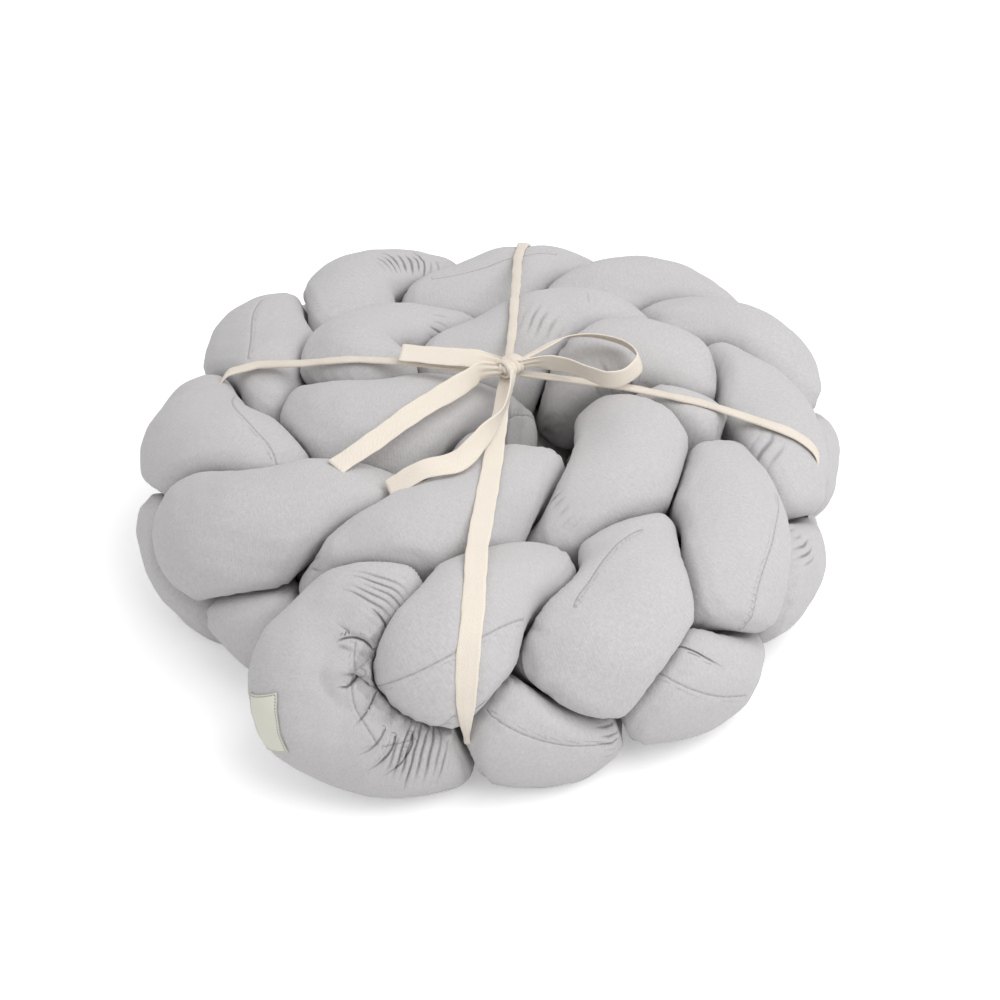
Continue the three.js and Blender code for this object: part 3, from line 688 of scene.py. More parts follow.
# %% The two bands and the slices under them
TAPE_WIDTH, TAPE_THICKNESS, SEAT = 16, 1.2, 0.3
TAPE_CROSSING = np.array([10.0, 9.0])
UP = np.array([0, 0, 1])
FRONT_BACK_HEADING, LEFT_RIGHT_HEADING = 85, -8
BITE, BITE_WIDTH, BITE_REACH = 2.4, 11, 5
BITE_LOWEST = 15             # the tape bites only above this height
GROOVE_MARGIN = 1.5          # how much wider than the tape its groove in the underside is
# at the front and below this height the tape is squeezed edge on into a crease
PINCH_FRONT, PINCH_HEIGHT, PINCHED_HALF = -215, 60, 1.8


def level_ways(heading):
    """The level direction of a heading in degrees, and the one to its left."""
    turn = math.radians(heading)
    return (np.array([math.cos(turn), math.sin(turn), 0]),
            np.array([-math.sin(turn), math.cos(turn), 0]))


class Band:
    """A slice through the roll: s runs along the band and d across it, from its drifting middle."""

    def __init__(self, name, heading, drift, pinched=False):
        self.name, self.drift, self.pinched = name, np.array(drift, float), pinched
        self.along, self.across = level_ways(heading)
        self.start = np.array([*TAPE_CROSSING, 0])

    def middle(self, s):
        """How far the band has drifted sideways."""
        return np.interp(s, *self.drift)

    def split(self, points):
        away = points - self.start
        s = away @ self.along
        return s, away @ self.across - self.middle(s), points[..., 2]

    def join(self, s, z):
        """Points on the band's middle line."""
        s = np.asarray(s)
        return (self.start + s[:, None] * self.along + self.middle(s)[:, None] * self.across
                + np.asarray(z)[:, None] * UP)

    def outline(self, clouds):
        """The taut line round all points within half a tape's width, counter-clockwise."""
        flat = []
        for cloud in clouds:
            s, d, z = (part.ravel() for part in self.split(cloud))
            edge_on = self.pinched & (s < PINCH_FRONT) & (z < PINCH_HEIGHT)
            reach = np.where(edge_on, PINCHED_HALF, TAPE_WIDTH / 2 + SEAT)
            under = (np.abs(d) < reach) & (z > TAPE_THICKNESS)
            flat.append(np.column_stack([s[under], z[under]]))
        points = np.unique(np.vstack(flat).round(2), axis=0)
        halves = []
        for run in (points, points[::-1]):
            line = []
            for point in run:
                while len(line) > 1:
                    (ax, az), (bx, bz) = line[-2:]
                    if (bx - ax) * (point[1] - az) - (bz - az) * (point[0] - ax) > 0:
                        break
                    line.pop()
                line.append(point)
            halves.append(line[:-1])
        return np.array(halves[0] + halves[1])


front_back = Band("tape_front_back", FRONT_BACK_HEADING,
                  [(-300, -288, -262, -240, -200, -100, 0, 60, 130, 200, 300),
                   (2, 2, 0.8, 1.5, 3.6, 1, 0, 0, 3, 7, 4)], pinched=True)
left_right = Band("tape_left_right", LEFT_RIGHT_HEADING,
                  [(-300, -240, -218, -196, -160, -126, -84, -45, 0, 300),
                   (-6, -2, 11, 16, 9, 6, 6, 2, 0, 0)])
bands = (front_back, left_right)
for band in bands:
    band.first = band.outline([tube.skin for tube in tubes.values()])
    print(band.name, "touches at", len(band.first), "points")

# %% Press the skins in under the tape, and set them on the floor
def gap_to_line(s, z, line):
    """Distance from points in the slice to a closed line."""
    best = np.full(s.shape, 1e9)
    for (ax, az), (bx, bz) in zip(line, np.roll(line, -1, axis=0)):
        run = max((bx - ax) ** 2 + (bz - az) ** 2, 1e-9)
        t = np.clip(((s - ax) * (bx - ax) + (z - az) * (bz - az)) / run, 0, 1)
        best = np.minimum(best, np.hypot(s - ax - t * (bx - ax), z - az - t * (bz - az)))
    return best


def ground_under(points):
    """The floor, with room for one tape in each groove and for two where they cross."""
    layers = np.zeros(points.shape[:-1])
    for band in bands:
        _, d, _ = band.split(points)
        layers += np.abs(d) < TAPE_WIDTH / 2 + GROOVE_MARGIN
    return layers * (TAPE_THICKNESS + 2 * SEAT)


for tube in tubes.values():
    pressed = np.zeros(tube.radii.shape)
    for band in bands:
        s, d, z = band.split(tube.skin)
        close = (np.abs(d) < 3 * BITE_WIDTH) & (z > BITE_LOWEST)
        gap = gap_to_line(s[close], z[close], band.first)
        pressed[close] = np.maximum(pressed[close], BITE * bell(d[close], 0, BITE_WIDTH)
                                    * np.exp(-gap / BITE_REACH))
    tube.move -= pressed
    tube.skin = skin(tube, tube.radii + tube.move)
    tube.skin[..., 2] = np.maximum(tube.skin[..., 2], ground_under(tube.skin))
    print(tube.name, "is pressed", pressed.max().round(1), "mm at most")

# %% [markdown]
# ## From rings to a mesh
# A tube and a strip of tape are both made of rings of points, each joined to the next by four-sided
# faces. The mesh also carries the cloth's own coordinates in metres, along and across, because knit,
# weave and seams follow the cloth and not the room.

# %% Helpers that make a piece from rings
CENTRE = np.array([*CENTRING, 0])


def as_metres(points):
    return (np.asarray(points, float).reshape(-1, 3) + CENTRE) * MM


def ring_faces(rings, sides, closed):
    """Faces between rings of points; a closed run joins its last ring to its first."""
    faces = []
    for ring in range(rings if closed else rings - 1):
        a, b = ring * sides, (ring + 1) % rings * sides
        faces += [(a + k, a + (k + 1) % sides, b + (k + 1) % sides, b + k) for k in range(sides)]
    return faces


def ring_uv(lengths, around):
    """Cloth coordinates for the corners of those faces, in metres; around has a row for each ring."""
    rows = [np.column_stack([np.tile([a, a, b, b], around.shape[1] - 1),
                             np.column_stack([k[:-1], k[1:], n[1:], n[:-1]]).ravel()])
            for a, b, k, n in zip(lengths, lengths[1:], around, around[1:])]
    return np.vstack(rows) * MM


def new_piece(name, points, faces, uv):
    """A smooth-shaded mesh object; corners that uv doesn't reach stay at 0."""
    mesh = bpy.data.meshes.new(name)
    mesh.from_pydata(points.tolist(), [], faces)
    mesh.polygons.foreach_set("use_smooth", np.ones(len(faces), bool))
    layer = mesh.uv_layers.new(name="cloth")
    full = np.zeros((len(mesh.loops), 2), np.float32)
    full[:len(uv)] = uv
    layer.data.foreach_set("uv", full.ravel())
    mesh.update()
    piece = bpy.data.objects.new(name, mesh)
    bpy.context.scene.collection.objects.link(piece)
    return piece


def give_values(piece, name, values):
    layer = piece.data.attributes.new(name, "FLOAT", "POINT")
    layer.data.foreach_set("value", np.asarray(values, np.float32).ravel())


def triangles(piece):
    return sum(len(face.vertices) - 2 for face in piece.data.polygons)


# %% The strands' skins, in a few lengths each
CUTS = {"strand_folded": (1300, 2200, 3000, 4050), "strand_middle": (1250,)}
CUT_SEARCH = 180
# what the finish may follow, in mm: folds and how deep, tucks and how deep, seams and how surely
CLOTH_VALUES = ("fold", "gather", "tuck", "tucked", "seam", "sewn", "from_crease")


def hidden_ring(tube, wanted):
    """The ring near a length whose skin is pressed on most: a join there is never seen."""
    near = np.flatnonzero(np.abs(tube.travelled - wanted) < CUT_SEARCH)
    return near[(tube.from_crease[near] < 3).mean(axis=1).argmax()]


def tube_pieces(tube, cuts):
    cuts = [0] + [hidden_ring(tube, wanted) for wanted in cuts] + [len(tube.line) - 1]
    around = np.column_stack([tube.angles, np.full(len(tube.line), 2 * np.pi)]) * TUBE_RADIUS
    pieces = []
    for number, (first, last) in enumerate(zip(cuts, cuts[1:]), 1):
        rings = slice(first, last + 1)
        points, faces = tube.skin[rings].reshape(-1, 3), ring_faces(last + 1 - first, RAYS, False)
        values = {name: getattr(tube, name)[rings] for name in CLOTH_VALUES}
        for end in {0, len(tube.line) - 1} & {first, last}:
            ring, tip = (end - first) * RAYS, len(points)
            points = np.vstack([points, tube.line[[end]]])
            fan = [(ring + k, ring + (k + 1) % RAYS, tip) for k in range(RAYS)]
            faces += fan if end else [face[::-1] for face in fan]
            values = {key: np.append(value, 0) for key, value in values.items()}
        piece = new_piece(f"{tube.name}_cloth_{number}", as_metres(points), faces,
                          ring_uv(tube.travelled[rings], around[rings]))
        for key, value in values.items():
            give_values(piece, key, value)
        pieces.append(piece)
        print(piece.name, "has", triangles(piece), "triangles")
    return pieces


strands = {name: tube_pieces(tubes[name], cuts) for name, cuts in CUTS.items()}

# %% [markdown]
# ## Strips of cotton tape
# A woven tape is flat, just over a millimetre thick, with rounded selvedges that are never quite
# straight. One function sweeps that section along a path, with its own width, thickness and folds at
# each place, and it makes both bands and every part of the bow.

# %% One strip of tape
OPEN_HALF = TAPE_WIDTH / 2
ACROSS = np.array([-1, -0.97, -0.88, -0.7, -0.5, -0.25, 0, 0.25, 0.5, 0.7, 0.88, 0.97, 1])
EDGE = np.array([0, 0.75, 1, 1, 1, 1, 1, 1, 1, 1, 1, 0.75, 0])
SECTION_ACROSS = np.concatenate([ACROSS, ACROSS[-2:0:-1]])
SECTION_HEIGHT = np.concatenate([EDGE, -EDGE[-2:0:-1]])


def waver(travelled, start=0.0):
    """The small unevenness of a woven edge, in mm."""
    return 0.22 * np.sin(travelled / 6.1 + start) + 0.13 * np.sin(travelled / 2.7 + 2 * start)


def strip(name, centre, across, through, half, thickness, lift=0.0, closed=False):
    """A closed strip: rings of the tape's section, one for each place on its middle line."""
    around = np.vstack([centre, centre[:1]]) if closed else centre
    travelled = length_along(around)
    edge = half + waver(travelled[:len(half)], len(name))
    rings = (centre[:, None] + across[:, None] * (edge[:, None] * SECTION_ACROSS)[..., None]
             + through[:, None] * (thickness[:, None] / 2 * SECTION_HEIGHT + lift)[..., None])
    sides = len(SECTION_ACROSS)
    faces = ring_faces(len(centre), sides, closed)
    if not closed:
        last = (len(centre) - 1) * sides
        faces += [tuple(range(sides - 1, -1, -1)), tuple(range(last, last + sides))]
    flat = np.concatenate([SECTION_ACROSS, SECTION_ACROSS[:1]]) * OPEN_HALF
    uv = ring_uv(travelled, np.tile(flat, (len(travelled), 1)))
    return new_piece(name, as_metres(rings), faces, uv)


# %% [markdown]
# ## The two bands
# Each band follows its taut line. Pulled tight over soft tubes, the tape folds itself in half on top
# of the roll, so it looks half as wide and twice as thick; only its front arm lies open there.

# %% Sweep the bands
BAND_STEP = 3
BAND_SOFTENING = 5
FOLDING_FROM, FOLDING_TO = 25, 90       # heights between which the tape starts to fold in half
FOLDED_HALF, UNFOLDED_HALF = 4.6, 6.6   # half widths at which it is quite folded and quite open
CREASE_MARGIN = 20                      # over which the tape sinks into a crease
CREASE_MOUTH = (-25, 5)                 # where a crease opens, from the top of a dive
BAND_FOLD = 0.3                         # how deep the fold in the tape's face is
CLIMB_WIDTHS = (OPEN_HALF + 2, OPEN_HALF + 8)
UNDERSIDE = 12                          # below this height the tape lies under the roll
# along the band, and half its width there
FRONT_BACK_HALF = ((-160, -110, -60, -12, 0, 12, 70, 150, 215, 300),
                   (7.8, 7.3, 6.2, 5, 4.4, 3.1, 3.4, 3.7, 3.7, 6.5))
LEFT_RIGHT_HALF = ((-270, -205, -150, -10, 10, 150, 200, 270),
                   (7, 4.8, 3.7, 3.2, 3.2, 3.6, 4.6, 7))


def taut_path(line):
    """Even steps round a closed line, softened at its corners."""
    around = np.vstack([line, line[:1]])
    travelled = length_along(around)
    count = round(travelled[-1] / BAND_STEP)
    wanted = np.arange(count) * travelled[-1] / count
    path = np.column_stack([np.interp(wanted, travelled, around[:, k]) for k in (0, 1)])
    for _ in range(round(2 * (BAND_SOFTENING / BAND_STEP) ** 2)):
        path = (np.roll(path, 1, axis=0) + 2 * path + np.roll(path, -1, axis=0)) / 4
    return path


def band_piece(band, clouds, half_table, dives, climbs=False):
    """Sweeps a band; a dive into a crease is the side, from where on, below which height, how deep."""
    path = taut_path(band.outline(clouds))
    tangent = unit(np.roll(path, -1, axis=0) - np.roll(path, 1, axis=0))
    outward = np.column_stack([tangent[:, 1], -tangent[:, 0]])
    up_there = step_up(path[:, 1], FOLDING_FROM, FOLDING_TO)
    half = OPEN_HALF + (np.interp(path[:, 0], *half_table) - OPEN_HALF) * up_there
    if band.pinched:
        squeezed = (step_up(-path[:, 0], -PINCH_FRONT, CREASE_MARGIN - PINCH_FRONT)
                    * step_up(path[:, 1], 2, 14))
        squeezed *= 1 - step_up(path[:, 1], PINCH_HEIGHT, 2 * PINCH_HEIGHT)
        half = half + (PINCHED_HALF - half) * squeezed
    folded_over = 1 - step_up(half, FOLDED_HALF, UNFOLDED_HALF)
    thickness = TAPE_THICKNESS * (1 + folded_over)
    sunk = np.zeros(len(path))
    for side, start, top, depth in dives:
        here = step_up(side * path[:, 0], start, start + CREASE_MARGIN) * step_up(path[:, 1], 1, 7)
        sunk = sunk + depth * here * (1 - step_up(path[:, 1] - top, *CREASE_MOUTH))
    path = path + outward * (SEAT + thickness / 2 - sunk)[:, None]
    path[:, 1] = np.maximum(path[:, 1], SEAT + TAPE_THICKNESS / 2)
    if climbs:
        under = (path[:, 1] < UNDERSIDE) * (1 - step_up(np.abs(path[:, 0]), *CLIMB_WIDTHS))
        path[:, 1] += (TAPE_THICKNESS + 2 * SEAT) * under
    centre = band.join(*path.T)
    across = np.repeat(band.across[None], len(path), axis=0)
    through = outward[:, :1] * band.along + outward[:, 1:] * UP
    band.top = centre[:, 2].max() + TAPE_THICKNESS
    band.length = length_along(np.vstack([centre, centre[:1]]))[-1]
    band.rim = centre + through * (thickness / 2)[:, None]
    fold = BAND_FOLD * folded_over[:, None] * np.cos(np.pi * SECTION_ACROSS)
    return strip(band.name + "_cloth", centre, -across, through, half, thickness, fold, closed=True)


skins = [tube.skin for tube in tubes.values()]
FRONT_BACK_DIVES = [(-1, 240, 62, 17)]
LEFT_RIGHT_DIVES = [(1, 215, 118, 12), (-1, 217, 250, 16)]
band_pieces = {"tape_front_back": band_piece(front_back, skins, FRONT_BACK_HALF, FRONT_BACK_DIVES)}
crossing = [front_back.rim + front_back.across * shift for shift in (-6, 0, 6)]
band_pieces["tape_left_right"] = band_piece(left_right, skins + crossing, LEFT_RIGHT_HALF,
                                           LEFT_RIGHT_DIVES, climbs=True)
for band in bands:
    print(band.name, "is", round(band.length), "mm round and", round(band.top), "mm high")

# %% [markdown]
# ## The bow
# One loop, three tails and the knot, where the fourth end is tucked in. Each part is a strip along a
# few rows of places: the rows say where its middle lies from the knot and how far it is rolled on
# its side. Near the knot the tape gathers into folds and narrows to half its width.

# %% Where the parts of the bow lie
STRIPS = {
    "bow_loop": [
        (6, 4, 1.5, 30), (28, 23, 4, 33), (42, 33, 5, 36), (62, 34, 6, 40), (82, 28, 5, 48),
        (93, 17, 4, 60), (97, 3, 3, 74), (93, -7, 2, 84), (83, -17, 1, 94), (72, -19, 1, 100),
        (60, -14, 2.5, 104), (42, -4, 4, 106), (24, -1, 4.5, 104), (6, -1, 2.5, 100)],
    "bow_tail_upper_left": [(-5, 2, 2, 40), (-30, 8, 2.5, 30), (-53, 12.5, 1.5, 22), (-83, 19, 0.5, 20)],
    "bow_tail_lower_left": [
        (-5, -3, -0.8, 66), (-22, -4, -1.5, 76), (-28, -11, -2, 68), (-43, -25, -4, 44),
        (-70, -47, -9, 24), (-98, -73, -16, 18), (-127, -98, -23, 10)],
    "bow_tail_lower": [
        (2, -5, 1, 66), (0, -32, 0, 86), (-7, -63, -1, 94), (-19, -84, -4, 72),
        (-37, -105, -12, 34), (-63, -113, -14.6, 24), (-88, -119, -28, 18)],
}
cad_knot = (np.array(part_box("bow_knot")[0]) + np.array(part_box("bow_knot")[1])) / 2 / MM - CENTRE
cad_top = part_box("tape_left_right")[1][2] / MM
SETTLED = left_right.top - cad_top     # the bands bite in, so the bow comes down with them
knot_middle = cad_knot + np.array([0, 0, SETTLED])
print("the bow sits", round(SETTLED, 1), "mm from where the solids have it")

# %% Sweep the strips of the bow
STRIP_STEP = 2.2
GATHER_LENGTH, DRAWN_IN = 26, 0.5       # how far from the knot, and how much of the width it takes
BOW_FOLD, BOW_FOLDS = 1.5, 1.25
BOW_CURL, BOW_CURL_RUN = 0.5, 19
ROW_STEPS = 24               # between two rows


def along_rows(rows):
    """Even steps on a Catmull-Rom curve through the rows."""
    rows = np.array(rows, float)
    ends = np.vstack([2 * rows[0] - rows[1], rows, 2 * rows[-1] - rows[-2]])
    t = np.linspace(0, 1, ROW_STEPS, endpoint=False)[:, None]
    runs = [through_rows(*four, t) for four in zip(ends, ends[1:], ends[2:], ends[3:])]
    fine = np.vstack(runs + [rows[-1:]])
    travelled = length_along(fine[:, :3])
    wanted = np.linspace(0, travelled[-1], round(travelled[-1] / STRIP_STEP) + 1)
    return np.column_stack([np.interp(wanted, travelled, fine[:, k]) for k in range(4)]), wanted


# how wide a part shows from the knot on: the low tail stays folded until it turns over
OPENING = {"bow_tail_lower": ((0, 12, 34, 52, 74), (1, 0.8, 0.5, 0.55, 1))}


def bow_strip(name, rows, both_ends):
    """One part of the bow, gathered where it leaves the knot, at one end or at both."""
    places, travelled = along_rows(rows)
    centre = places[:, :3] + knot_middle
    tangent = unit(np.gradient(centre, axis=0))
    side = unit(np.cross(tangent, UP))
    over = np.cross(side, tangent)
    roll = np.radians(places[:, 3:])
    across = side * np.cos(roll) + over * np.sin(roll)
    through = np.cross(tangent, across)
    from_knot = np.minimum(travelled, travelled[-1] - travelled) if both_ends else travelled
    gathered = 1 - step_up(from_knot, 0, GATHER_LENGTH)
    opening = np.interp(travelled, *OPENING.get(name, ((0, 1), (1, 1))))
    half = OPEN_HALF * (1 - DRAWN_IN * gathered) * opening
    folds = BOW_FOLD * gathered[:, None] * np.cos(2 * np.pi * BOW_FOLDS * SECTION_ACROSS + 0.6)
    sway = BOW_CURL * np.sin(travelled / BOW_CURL_RUN + len(name))
    curl = sway[:, None] * (SECTION_ACROSS ** 2 - 0.4)
    thickness = np.full(len(places), TAPE_THICKNESS)
    piece = strip(name + "_cloth", centre, across, through, half, thickness, folds + curl)
    return piece, travelled[-1]


bow_pieces, bow_lengths = {}, {}
for name, rows in STRIPS.items():
    bow_pieces[name], bow_lengths[name] = bow_strip(name, rows, name == "bow_loop")
    print(name, "is", round(bow_lengths[name]), "mm long")

# %% [markdown]
# ## The knot
# A real knot is the same tape, drawn together until it folds lengthwise and wrapped round itself.
# Three wraps cross here: a flat one goes round the gathered tapes, and two narrower ones lie
# slanting over it. Each is a closed strip round an oval, so they take the weave as the bands do.

# %% Three wraps round the middle
# heading of the wrap in plan, its half length and half height, half the width of its tape, its lift
# and its shift sideways
WRAPS = {
    "under": (58, 7.8, 4.6, 6.4, 0, 0),
    "left": (-52, 8.4, 5.8, 4.6, 0.4, -3.4),
    "right": (-38, 9.0, 6.3, 4.5, 0.8, 2.8),
}
WRAP_STEPS = 40
WRAP_CURL, WRAP_FOLD, WRAP_FOLDS = 0.8, 0.8, 1.25
WRAP_SWAY, WRAP_UNEVEN = 0.9, 0.12      # how far a wrap slips aside, and how its width varies


def wrap(name, heading, length, height, half, lift, shift):
    """A strip round an upright oval; its two edges curl and folds run along it."""
    turn = 2 * np.pi * np.arange(WRAP_STEPS) / WRAP_STEPS
    ahead, aside = level_ways(heading)
    sway = (WRAP_SWAY * np.sin(turn + 0.7) + shift)[:, None] * aside
    centre = (knot_middle + UP * lift + sway + length * np.cos(turn)[:, None] * ahead
              + height * np.sin(turn)[:, None] * UP)
    through = unit(height * np.cos(turn)[:, None] * ahead + length * np.sin(turn)[:, None] * UP)
    across = np.repeat(-aside[None], WRAP_STEPS, axis=0)
    widths = half * (1 + WRAP_UNEVEN * np.sin(2 * turn + 1))
    slip = 0.6 * np.sin(turn)[:, None]
    folds = WRAP_FOLD * np.cos(2 * np.pi * WRAP_FOLDS * SECTION_ACROSS[None] + 0.5 + slip)
    bumps = folds - WRAP_CURL * SECTION_ACROSS ** 2
    thickness = np.full(WRAP_STEPS, TAPE_THICKNESS)
    return strip(name, centre, across, through, widths, thickness, bumps, closed=True)


knot_pieces = {name: wrap(f"bow_knot_{name}", *sizes) for name, sizes in WRAPS.items()}

# %% [markdown]
# ## The label
# A little woven label is sewn on the knob. It is cut as a rectangle and follows the knob's curve, so
# a grid of points is dropped onto the skin along one direction and then thickened.

# %% Lay the label on the knob
LABEL_FACING, LABEL_TILT = np.array([-0.7, -0.7, -0.15]), 28
LABEL_WIDTH, LABEL_HEIGHT, LABEL_THICKNESS, LABEL_LIFT = 28, 40, 0.9, 0.5
LABEL_SHIFT = np.array([4, -3, 4])
LABEL_CELLS = (20, 32)
LABEL_SMOOTHING = 3          # rounds


def lay_label():
    """A grid of places on the knob's skin and the way out of it at each."""
    along, out = (direction[0] for direction in braid_directions(np.array([0.0])))
    middle = (upper[0] + lower[0]) / 2 - along * FOLD_REACH + out * FOLD_OUT + LABEL_SHIFT
    facing = LABEL_FACING / np.linalg.norm(LABEL_FACING)
    right = np.array([-facing[1], facing[0], 0])
    right /= np.linalg.norm(right)
    up = np.cross(facing, right)
    turn = math.radians(LABEL_TILT)
    short = right * math.cos(turn) + up * math.sin(turn)
    long = up * math.cos(turn) - right * math.sin(turn)
    first = np.searchsorted(folded.travelled, knob_length - KNOB_HALF_LENGTH)
    last = np.searchsorted(folded.travelled, knob_length + KNOB_HALF_LENGTH)
    points = folded.skin[first:last].reshape(-1, 3)
    tree = BVHTree.FromPolygons(points.tolist(), ring_faces(last - first, RAYS, False))
    across, down = (np.linspace(-0.5, 0.5, count + 1) for count in LABEL_CELLS)
    rows = []
    for j in down:
        for i in across:
            start = (middle + facing * 3 * TUBE_RADIUS + short * i * LABEL_WIDTH
                     + long * j * LABEL_HEIGHT)
            place, normal, _, _ = tree.ray_cast(Vector(start), Vector(-facing))
            normal = np.array(normal) * np.sign(np.dot(normal, facing))
            rows.append(np.concatenate([place, normal]))
    rows = np.array(rows).reshape(LABEL_CELLS[1] + 1, LABEL_CELLS[0] + 1, 6)
    return rows[..., :3], rows[..., 3:]


def label_piece():
    """The label as a closed sheet: two layers of cells and a rim."""
    surface, normals = lay_label()
    for _ in range(LABEL_SMOOTHING):
        normals = (np.roll(normals, 1, 0) + np.roll(normals, -1, 0) + 2 * normals) / 4
    under = surface + normals * LABEL_LIFT
    over = under + normals * LABEL_THICKNESS
    rows, columns = surface.shape[:2]
    edge = [(0, i) for i in range(columns)] + [(j, columns - 1) for j in range(1, rows)]
    edge += [(rows - 1, i) for i in range(columns - 2, -1, -1)]
    edge += [(j, 0) for j in range(rows - 2, 0, -1)]
    layer = rows * columns
    faces, uv = [], []
    spots = np.array([(i * LABEL_WIDTH / LABEL_CELLS[0], j * LABEL_HEIGHT / LABEL_CELLS[1])
                      for j in range(rows) for i in range(columns)]) * MM
    for j in range(rows - 1):
        for i in range(columns - 1):
            a = j * columns + i
            quad = (a, a + 1, a + columns + 1, a + columns)
            faces += [tuple(layer + k for k in quad[::-1]), quad]
            uv += [spots[k] for k in quad[::-1]] + [spots[k] for k in quad]
    for (j, i), (m, n) in zip(edge, edge[1:] + edge[:1]):
        a, b = j * columns + i, m * columns + n
        faces.append((b, a, layer + a, layer + b))
        uv += [spots[b], spots[a], spots[a], spots[b]]
    points = np.vstack([under.reshape(-1, 3), over.reshape(-1, 3)])
    return new_piece("label_cloth", as_metres(points), faces, np.array(uv))


label = label_piece()
print("the label has", triangles(label), "triangles")

# %% [markdown]
# ## Shader maths as Python
# Blender's materials are graphs of nodes, which grow hard to read when every plus and times is a
# node wired by hand. A small class wraps one socket and overloads the usual signs, so a pattern can
# be written as an expression and still ends up as ordinary nodes. Everything that isn't arithmetic
# on numbers comes from one method, which makes a node of any type.

# %% A socket that can be calculated with
class Value:
    """One output in a material; the usual signs add a Math node and give its output back."""

    def __init__(self, finish, socket):
        self.finish, self.socket = finish, socket

    def maths(self, operation, *others, clamp=False):
        settings = {"operation": operation, "use_clamp": clamp}
        return self.finish.add("Math", settings, dict(enumerate((self, *others))))

    def __add__(self, other):
        return self.maths("ADD", other)

    def __sub__(self, other):
        return self.maths("SUBTRACT", other)

    def __rsub__(self, other):
        return self * -1 + other

    def __mul__(self, other):
        return self.maths("MULTIPLY", other)

    def __truediv__(self, other):
        return self.maths("DIVIDE", other)

    def __pow__(self, other):
        return self.maths("POWER", other)

    __radd__, __rmul__ = __add__, __mul__

    def wave(self):
        """From 0 to 1 and back; it is 1 at every whole number."""
        return (self * (2 * math.pi)).maths("COSINE") * 0.5 + 0.5

    def ramp(self, start, end):
        """0 below start and 1 above end, or the other way round, with a soft step between."""
        share = (self - start).maths("DIVIDE", end - start, clamp=True)
        return share * share * (3 - 2 * share)


BLACK, WHITE = (0, 0, 0, 1), (1, 1, 1, 1)


class Finish:
    """A material being built, with its Principled shader and its output in place."""

    def __init__(self, name):
        self.material = bpy.data.materials.new(name)
        self.material.use_nodes = True
        self.tree = self.material.node_tree
        self.shader = self.tree.nodes["Principled BSDF"]

    def node(self, kind, settings, inputs):
        made = self.tree.nodes.new("ShaderNode" + kind)
        for setting, value in settings.items():
            setattr(made, setting, value)
        for key, value in inputs.items():
            if isinstance(value, Value):
                self.tree.links.new(value.socket, made.inputs[key])
            else:
                made.inputs[key].default_value = value
        return made

    def add(self, kind, settings, inputs, output=0):
        """Any node; gives one of its outputs back."""
        return Value(self, self.node(kind, settings, inputs).outputs[output])

    def mix(self, factor, first, second):
        """Blends two colours."""
        return self.add("Mix", {"data_type": "RGBA"}, {0: factor, 6: first, 7: second}, 2)

    def toned(self, tone, base):
        """A colour made darker or lighter by a tone around 1."""
        return self.mix(tone * 0.5, BLACK, tuple(2 * c for c in base) + (1,))

    def attribute(self, name):
        """A number that the mesh carries at each of its points."""
        return self.add("Attribute", {"attribute_name": name}, {}, "Fac")

    def cloth(self):
        """The cloth's own coordinates in millimetres: along it, and across or around it."""
        place = self.add("UVMap", {"uv_map": "cloth"}, {})
        along, across = (self.add("SeparateXYZ", {}, {0: place}, axis) * 1000 for axis in (0, 1))
        return place, along, across

    def noise(self, place, scale, detail=2.0):
        """Soft noise around 0.5."""
        return self.add("TexNoise", {}, {"Vector": place, "Scale": scale, "Detail": detail})

    def set(self, **constants):
        """Numbers that are the same all over, on the shader's own sockets."""
        for name, value in constants.items():
            socket = name.replace("_", " ").title().replace("Ior", "IOR")
            self.shader.inputs[socket].default_value = value

    def feed(self, socket, value):
        """A value that varies, into one of the shader's sockets."""
        self.tree.links.new(value.socket, self.shader.inputs[socket])

    def relief(self, height):
        """A bump from a height in millimetres."""
        bump = self.add("Bump", {}, {"Strength": 1.0, "Distance": MM, "Height": height})
        self.feed("Normal", bump)


# %% [markdown]
# ## Grey jersey
# The tubes are cotton jersey in a heathered pale grey: a fine knit whose columns of little V shaped
# stitches run along the strand, spun from fibres of slightly different greys, with a soft nap that
# lightens its edges. Stitches of a millimetre are far too many to model, so they are a bump, while
# the bottoms of the folds and the thread in the seams follow the values that the mesh carries.
# The bottoms of the folds, the tucks and the skin right beside the creases are also painted darker in
# the colour: painted shade.

# %% Stitches, folds and heather
def knit(along, around, wale=1.3, course=1.0):
    """The height of plain knitting: two slanted legs in each column, one stitch after another."""
    column = (around / wale).maths("FRACT") - 0.5
    aside = column.maths("ABSOLUTE")
    leg = 1 - (aside * 4 - 1) ** 2
    stitch = (along / course + aside * 1.1).wave()
    return leg * (stitch * 0.6 + 0.4)


FLECK_SCALE, YARN_SCALE, CLOUD_SCALE = 800, 1100, 16    # of the noises, for each metre
# painted shade: FOLD_SHADE, TUCK_SHADE and CREASE_SHADE say how much darker the colour is made in the
# bottoms of folds, in tucks and right beside creases
FOLD_SHADE, TUCK_SHADE, THREAD_SHADE, CREASE_SHADE = 0.5, 0.55, 0.36, 0.15
FOLD_DEPTH, TUCK_DEPTH, THREAD_DEPTH = 1.1, 1.4, 0.5    # of the bump, in mm
THREAD_STITCH = 3.2


